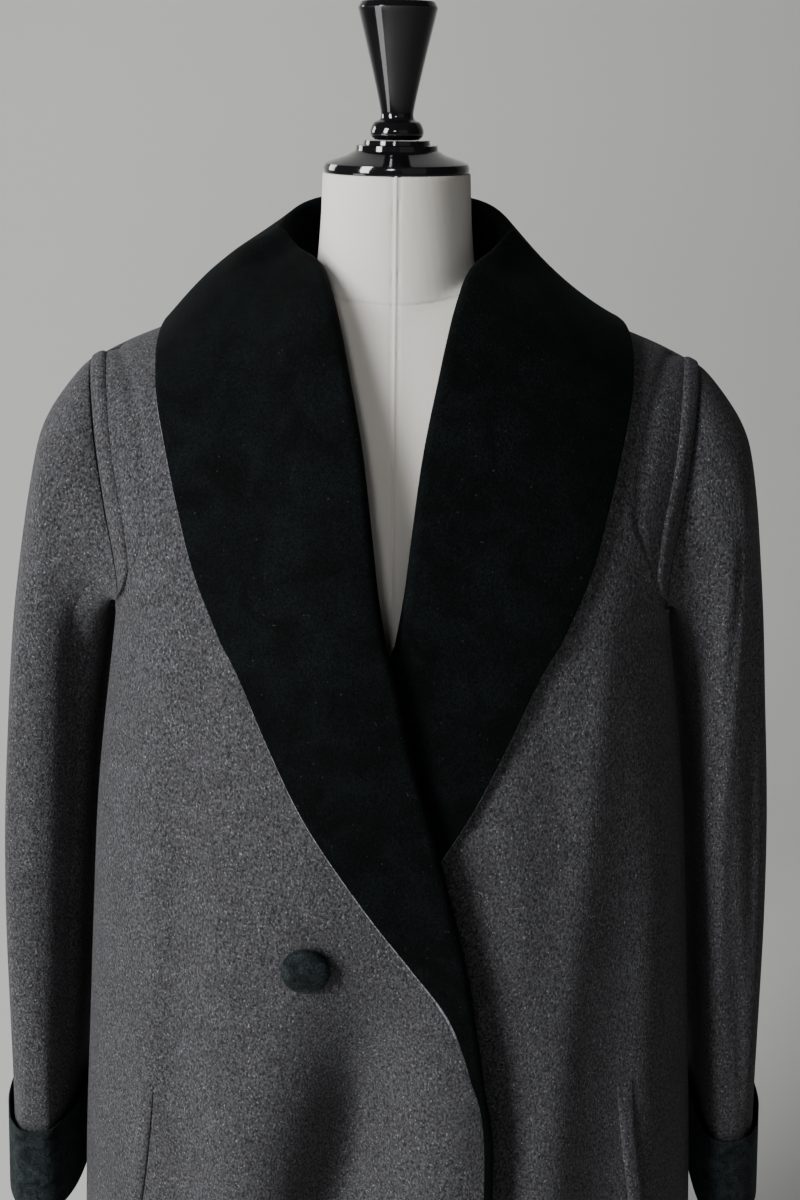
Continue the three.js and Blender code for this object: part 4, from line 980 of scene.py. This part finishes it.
def seam_distance(x, y, z):
    """Distances to the middle seam, the neck seam and the shaped side seams, in millimetres."""
    around = np.arctan2(np.abs(x), -y) / math.pi
    drop = mix(NECK_SEAM_FRONT, NECK_SEAM_BACK, smooth(0, 1, around))
    middle = np.where(np.hypot(x, y) > 30, np.abs(x), FAR)
    neck = np.where(np.hypot(x, y) < 110, np.abs(z - drop), FAR)
    sides = np.where((z < 1330) & (np.abs(y) > 30), np.abs(np.abs(x) - PRINCESS), FAR)
    return middle, neck, sides


def press_seams(mesh):
    """Press the seams into the canvas, on finer faces beside them."""
    bm = bmesh.new()
    bm.from_mesh(mesh)
    for vert in bm.verts:
        vert.co.z = min(vert.co.z, NECK_TOP * MM)
    for width in FINER_WITHIN:
        near = []
        for edge in bm.edges:
            spot = (edge.verts[0].co + edge.verts[1].co) * 500
            if spot.z > CHEST_FROM and spot.y < 0 and min(seam_distance(*spot)) < width:
                near.append(edge)
        bmesh.ops.subdivide_edges(bm, edges=near, cuts=1, use_grid_fill=True)
    bm.normal_update()
    for vert in bm.verts:
        middle, neck, sides = seam_distance(*(vert.co * 1000))
        ridge = 0.5 * bump(middle, 0, 0.9) - 0.6 * bump(middle, 2.2, 0.9)
        groove = 1.2 * bump(neck, 0, 1.2) + 0.8 * bump(sides, 0, 1.4)
        vert.co += vert.normal * float(ridge - groove) * MM
    for face in bm.faces:
        face.smooth = True
    bm.to_mesh(mesh)
    bm.free()


press_seams(form.data)

# %% [markdown]
# ## Finishes
#
# Each finish starts from the real material. Patterns are worked out from sizes in
# millimetres on Object coordinates, so they stay on the cloth in every view.

# %% Helpers for materials
def hex_colour(code):
    """An sRGB hex value as a linear colour."""
    parts = [int(code[i:i + 2], 16) / 255 for i in (1, 3, 5)]
    return [p / 12.92 if p <= 0.04045 else ((p + 0.055) / 1.055) ** 2.4 for p in parts] + [1]


def new_finish(name):
    """A new material, its node tree and its main shader."""
    finish = bpy.data.materials.new(name)
    finish.use_nodes = True
    tree = finish.node_tree
    return finish, tree, tree.nodes["Principled BSDF"]


def node(tree, kind, settings=None, **links):
    """Adds a node. A link or value is given by its socket's name, with _ for a space."""
    made = tree.nodes.new("ShaderNode" + kind)
    for key, value in (settings or {}).items():
        setattr(made, key, value)
    for key, value in links.items():
        socket = made.inputs[int(key[1:])] if key[1:].isdigit() else made.inputs[key.replace("_", " ")]
        if isinstance(value, bpy.types.NodeSocket):
            tree.links.new(value, socket)
        else:
            socket.default_value = value
    return made


MULTIPLY = {"data_type": "RGBA", "blend_type": "MULTIPLY"}


def per_mm(size):
    """A noise or wave scale in metres for a grain of this size in millimetres."""
    return 1 / (size * MM)


# %% Napped wool, velvet, canvas and lacquer
def wool_finish(name="napped_heather_wool", dark="#18181a", light="#4d4d50"):
    """Heathered coating wool: dark and pale fibres spun together, fulled and brushed to a nap."""
    finish, tree, surface = new_finish(name)
    at = node(tree, "TexCoord").outputs["Object"]
    nap = node(tree, "Mapping", Vector=at, Scale=(1, 1, 0.7)).outputs[0]
    fibres = node(tree, "TexNoise", Vector=nap, Scale=per_mm(1.7), Detail=2.5, Roughness=0.6).outputs[0]
    flecks = node(tree, "TexNoise", Vector=nap, Scale=per_mm(1.3), Detail=0.5).outputs[0]
    cloud = node(tree, "TexNoise", Vector=at, Scale=per_mm(30), Detail=4).outputs[0]
    tone = node(tree, "ValToRGB", Fac=fibres)
    tone.color_ramp.elements[0].position, tone.color_ramp.elements[0].color = 0.34, hex_colour(dark)
    tone.color_ramp.elements[1].position, tone.color_ramp.elements[1].color = 0.68, hex_colour(light)
    pale = node(tree, "MapRange", Value=flecks, From_Min=0.64, From_Max=0.82, To_Max=0.7).outputs[0]
    heather = node(tree, "MixRGB", Fac=pale, Color1=tone.outputs[0], Color2=hex_colour("#858587")).outputs[0]
    shade = node(tree, "MapRange", Value=cloud, From_Min=0.3, From_Max=0.7,
                 To_Min=0.9, To_Max=1.08).outputs[0]
    colour = node(tree, "Mix", MULTIPLY, _0=1.0, _6=heather,
                  _7=shade).outputs[2]
    tree.links.new(colour, surface.inputs["Base Color"])
    raised = node(tree, "Bump", Height=fibres, Distance=0.0011, Strength=0.8).outputs[0]
    tree.links.new(raised, surface.inputs["Normal"])
    surface.inputs["Roughness"].default_value = 0.92
    surface.inputs["Specular IOR Level"].default_value = 0.2
    surface.inputs["Sheen Weight"].default_value = 0.1
    surface.inputs["Sheen Roughness"].default_value = 0.6
    surface.inputs["Sheen Tint"].default_value = hex_colour("#b8b8bc")
    return finish


def velvet_finish(name="black_cotton_velvet", deep="#040606", brushed_up="#090d0d", sheen=0.07, patch=30):
    """Cotton velvet: a short dense pile on a woven back, so it is dark face on and pale at its rim."""
    finish, tree, surface = new_finish(name)
    at = node(tree, "TexCoord").outputs["Object"]
    pile = node(tree, "TexNoise", Vector=at, Scale=per_mm(1.7), Detail=4, Roughness=0.75).outputs[0]
    brushed = node(tree, "TexNoise", Vector=at, Scale=per_mm(patch), Detail=4, Distortion=0.8).outputs[0]
    lint = node(tree, "TexNoise", Vector=at, Scale=per_mm(2.2), Detail=1).outputs[0]
    tone = node(tree, "MapRange", Value=brushed, From_Min=0.35, From_Max=0.65).outputs[0]
    ground = node(tree, "MixRGB", Fac=tone, Color1=hex_colour(deep), Color2=hex_colour(brushed_up)).outputs[0]
    grain = node(tree, "MapRange", Value=pile, From_Min=0.36, From_Max=0.66,
                 To_Min=0.35, To_Max=1.9).outputs[0]
    tufts = node(tree, "Mix", MULTIPLY, _0=1.0, _6=ground,
                 _7=grain).outputs[2]
    speck = node(tree, "MapRange", Value=lint, From_Min=0.74, From_Max=0.8, To_Max=0.14).outputs[0]
    colour = node(tree, "MixRGB", Fac=speck, Color1=tufts, Color2=hex_colour("#6f7675")).outputs[0]
    tree.links.new(colour, surface.inputs["Base Color"])
    raised = node(tree, "Bump", Height=pile, Distance=0.0011, Strength=0.85).outputs[0]
    tree.links.new(raised, surface.inputs["Normal"])
    surface.inputs["Roughness"].default_value = 0.8
    surface.inputs["Specular IOR Level"].default_value = 0.05
    surface.inputs["Sheen Weight"].default_value = sheen
    surface.inputs["Sheen Roughness"].default_value = 0.3
    surface.inputs["Sheen Tint"].default_value = hex_colour("#7f8b8a")
    return finish


def canvas_finish():
    """Ivory cotton canvas in plain weave. Its threads are 0.5 mm apart, drawn 0.8 mm apart to show."""
    finish, tree, surface = new_finish("ivory_cotton_canvas")
    at = node(tree, "TexCoord").outputs["Object"]
    weave = {"wave_type": "BANDS", "bands_direction": "X"}
    per_thread = 0.31 / (0.8 * MM)
    warp = node(tree, "TexWave", weave, Vector=at, Scale=per_thread, Distortion=1.2, Detail=2).outputs[1]
    weft = node(tree, "TexWave", weave | {"bands_direction": "Z"}, Vector=at, Scale=per_thread,
                Distortion=1.2, Detail=2).outputs[1]
    cloth_ = node(tree, "Math", {"operation": "MULTIPLY"}, _0=warp, _1=weft).outputs[0]
    age = node(tree, "TexNoise", Vector=at, Scale=per_mm(60), Detail=4).outputs[0]
    ground = node(tree, "MixRGB", Fac=age, Color1=hex_colour("#dad7d1"),
                  Color2=hex_colour("#cfcac1")).outputs[0]
    dark = node(tree, "MapRange", Value=cloth_, To_Min=0.95, To_Max=1.0).outputs[0]
    colour = node(tree, "Mix", MULTIPLY, _0=1.0, _6=ground,
                  _7=dark).outputs[2]
    tree.links.new(colour, surface.inputs["Base Color"])
    raised = node(tree, "Bump", Height=cloth_, Distance=0.0003, Strength=0.35).outputs[0]
    tree.links.new(raised, surface.inputs["Normal"])
    surface.inputs["Roughness"].default_value = 0.85
    surface.inputs["Specular IOR Level"].default_value = 0.25
    return finish


def lacquer_finish():
    """Turned wood in several coats of black gloss lacquer, rubbed between coats."""
    finish, tree, surface = new_finish("black_gloss_lacquer_on_wood")
    at = node(tree, "TexCoord").outputs["Object"]
    wave = node(tree, "TexNoise", Vector=at, Scale=per_mm(9), Detail=2).outputs[0]
    wear = node(tree, "TexNoise", Vector=at, Scale=per_mm(14), Detail=5).outputs[0]
    rough = node(tree, "MapRange", Value=wear, From_Min=0.35, From_Max=0.7,
                 To_Min=0.05, To_Max=0.12).outputs[0]
    ground = node(tree, "MixRGB", Fac=wear, Color1=hex_colour("#08080a"),
                  Color2=hex_colour("#121214")).outputs[0]
    tree.links.new(ground, surface.inputs["Base Color"])
    tree.links.new(rough, surface.inputs["Roughness"])
    raised = node(tree, "Bump", Height=wave, Distance=0.0004, Strength=0.12).outputs[0]
    tree.links.new(raised, surface.inputs["Normal"])
    surface.inputs["IOR"].default_value = 1.52
    surface.inputs["Coat Weight"].default_value = 0.5
    surface.inputs["Coat Roughness"].default_value = 0.06
    return finish


FINISHES = {"wool": wool_finish(), "velvet": velvet_finish(), "canvas": canvas_finish(),
            "lacquer": lacquer_finish()}
# The cuffs and the button take a lighter copy of the collar's velvet, with a paler ground and more sheen:
# painted light, where the light falls on them
VELVET_PAINTED_LIT = velvet_finish("black_cotton_velvet_painted_lit", "#101415", "#252b2c", 0.3, 12)
# The under collar takes a lighter copy of the wool, so the thin edge that shows past the velvet looks lit:
# painted light, where the side light catches that edge
WOOL_PAINTED_LIT_EDGE = wool_finish("heather_wool_painted_lit_edge", "#37373a", "#8a8a90")
SLOTS = {entry["node"]: entry["material_slot"] for entry in frame["record"]["subparts"]}
OWN = {"covered_button": "velvet", "canvas_form": "canvas", "turned_cap": "lacquer", "turned_knob": "lacquer",
       "turned_pole": "lacquer", "turned_base": "lacquer"}
for name, piece in PIECES.items():
    finish = FINISHES[OWN.get(name) or SLOTS[name.removeprefix("cloth_")]]
    if "cuff" in name or "button" in name:
        finish = VELVET_PAINTED_LIT
    if "under_collar" in name:
        finish = WOOL_PAINTED_LIT_EDGE
    piece.data.materials.clear()
    piece.data.materials.append(finish)
print("finished", len(PIECES), "pieces")

# %% [markdown]
# ## The cut of each cloth
#
# Every sheet's size as it was cut, its seam allowances left off, is listed here and printed beside the size
# measured on its mesh.

CUT = {
    "front": ((0.49, 1.20, 0.415), (0.49, 1.19, 0.410), "hung", ["form_torso"]),
    "sleeve_upper": ((0.37, 0.74, 0.166), (0.37, 0.74, 0.162), "hung", ["front", "back"]),
    "sleeve_under": ((0.21, 0.62, 0.087), (0.21, 0.62, 0.087), "hung", ["front", "back"]),
    "collar": ((0.24, 1.40, 0.118), (0.24, 1.39, 0.115), "folded", ["under_collar", "front", "back"]),
    "under_collar": ((0.19, 0.83, 0.076), (0.19, 0.83, 0.073), "draped", ["front", "back"]),
    "cuff": ((0.40, 0.112, 0.042), (0.39, 0.112, 0.041), "folded", ["sleeve_upper", "sleeve_under"]),
    "armhole_band": ((0.03, 0.215, 0.0036), (0.03, 0.215, 0.0036), "laid", ["front"]),
    "pocket_welt": ((0.02, 0.175, 0.0029), (0.02, 0.175, 0.0028), "laid", ["front"]),
}


for part, (right, left, held, under) in CUT.items():
    for word, cut in (("right", right), ("left", left)):
        piece = PIECES[f"cloth_{part}_{word}"]
        print(piece.name, "measured", MEASURED[piece.name], "cut", cut)

# %% [markdown]
# ## Studio
#
# A pale floor and backdrop, with a tall soft lamp at the upper left as the key and a weak
# fill on the other side. A small low lamp draws the streak on the lacquered knob, one
# behind picks out the left edge, and a narrow one lights the canvas of the chest.
# The camera looks down at the collar. From behind, the paper is looked through.

# %% Floor and lamps
def stage_mesh():
    """A floor that curves up into a backdrop."""
    bm = bmesh.new()
    line = [bm.verts.new((-9, y, z)) for y, z in [(-7, 0), (1.8, 0)]]
    for turn in np.linspace(0, math.pi / 2, 13)[1:]:
        line.append(bm.verts.new((-9, 1.8 + 1.5 * math.sin(turn), 1.5 - 1.5 * math.cos(turn))))
    line.append(bm.verts.new((-9, 3.3, 6)))
    edges = [bm.edges.new(pair) for pair in zip(line, line[1:])]
    made = bmesh.ops.extrude_edge_only(bm, edges=edges)
    moved = [item for item in made["geom"] if isinstance(item, bmesh.types.BMVert)]
    bmesh.ops.translate(bm, verts=moved, vec=(18, 0, 0))
    bm.normal_update()
    if sum(face.normal.z - face.normal.y for face in bm.faces) < 0:
        bmesh.ops.reverse_faces(bm, faces=bm.faces)
    for face in bm.faces:
        face.smooth = True
    mesh = bpy.data.meshes.new("studio")
    bm.to_mesh(mesh)
    bm.free()
    return mesh


studio = bpy.data.objects.new("studio", stage_mesh())
bpy.context.scene.collection.objects.link(studio)
paper, tree, surface = new_finish("studio_paper")
surface.inputs["Base Color"].default_value = hex_colour("#d8d8d6")
surface.inputs["Roughness"].default_value = 0.9
# From behind, the paper is looked through, so the back of the coat shows too
behind = node(tree, "NewGeometry").outputs["Backfacing"]
clear = node(tree, "BsdfTransparent").outputs[0]
shown = node(tree, "MixShader", _0=behind, _1=surface.outputs[0], _2=clear).outputs[0]
tree.links.new(shown, tree.nodes["Material Output"].inputs["Surface"])
studio.data.materials.append(paper)


def stand_lamp(name, light, at, target):
    """Stand a lamp at its place and turn it to its target."""
    made = bpy.data.objects.new(name, light)
    made.location = at
    made.rotation_euler = (Vector(target) - Vector(at)).to_track_quat("-Z", "Y").to_euler()
    bpy.context.scene.collection.objects.link(made)


# Each soft lamp: its place, what it looks at, how wide and tall it is, and its power
LAMPS = {
    "key": ((-2.45, -2.0, 2.3), (0, 0, 1.2), 0.9, 2.6, 196),
    "fill": ((1.6, -3.0, 2.0), (0, 0, 1.1), 2.4, 2.4, 2.5),
    "low window": ((-2.1, -1.1, 0.55), (0, 0, 1.56), 0.9, 0.8, 8),
    "behind": ((-2.6, 1.7, 2.0), (0, 0, 1.0), 1.0, 1.4, 36),
}
for name, (at, target, wide, tall, power) in LAMPS.items():
    light = bpy.data.lights.new(name, "AREA")
    light.shape, light.size, light.size_y, light.energy = "RECTANGLE", wide, tall, power
    stand_lamp(name, light, at, target)
CHEST_CONE, CHEST_SOFT, CHEST_POWER = math.radians(15), 0.25, 70
chest = bpy.data.lights.new("chest", "SPOT")
chest.spot_size, chest.spot_blend = CHEST_CONE, 1
chest.shadow_soft_size, chest.energy = CHEST_SOFT, CHEST_POWER
stand_lamp("chest", chest, (-0.35, -2.3, 2.2), (0.005, -0.1, 1.37))
AIR_STRENGTH = 0.06
world = bpy.data.worlds.new("studio_air")
world.use_nodes = True
world.node_tree.nodes["Background"].inputs[0].default_value = hex_colour("#e6e8ea")
world.node_tree.nodes["Background"].inputs[1].default_value = AIR_STRENGTH
bpy.context.scene.world = world
print("lamps:", list(LAMPS), "and the chest")

# %% Camera
# Worked out from the photo: its place in metres, and its tilt and roll in degrees
CAMERA_AT, TILT, ROLL, FOCAL, FILM = (0.0056, -1.1214, 1.5607), 71, 0.6, 45, 36
lens = bpy.data.cameras.new("camera")
lens.lens, lens.sensor_width, lens.sensor_height, lens.sensor_fit = FOCAL, FILM, FILM, "VERTICAL"
camera = bpy.data.objects.new("camera", lens)
turned = Matrix.Rotation(math.radians(TILT), 4, "X") @ Matrix.Rotation(math.radians(ROLL), 4, "Z")
camera.matrix_world = Matrix.Translation(CAMERA_AT) @ turned
bpy.context.scene.collection.objects.link(camera)
bpy.context.scene.camera = camera
print("camera at", CAMERA_AT)

# %% Bring the scene up to date
bpy.context.view_layer.update()
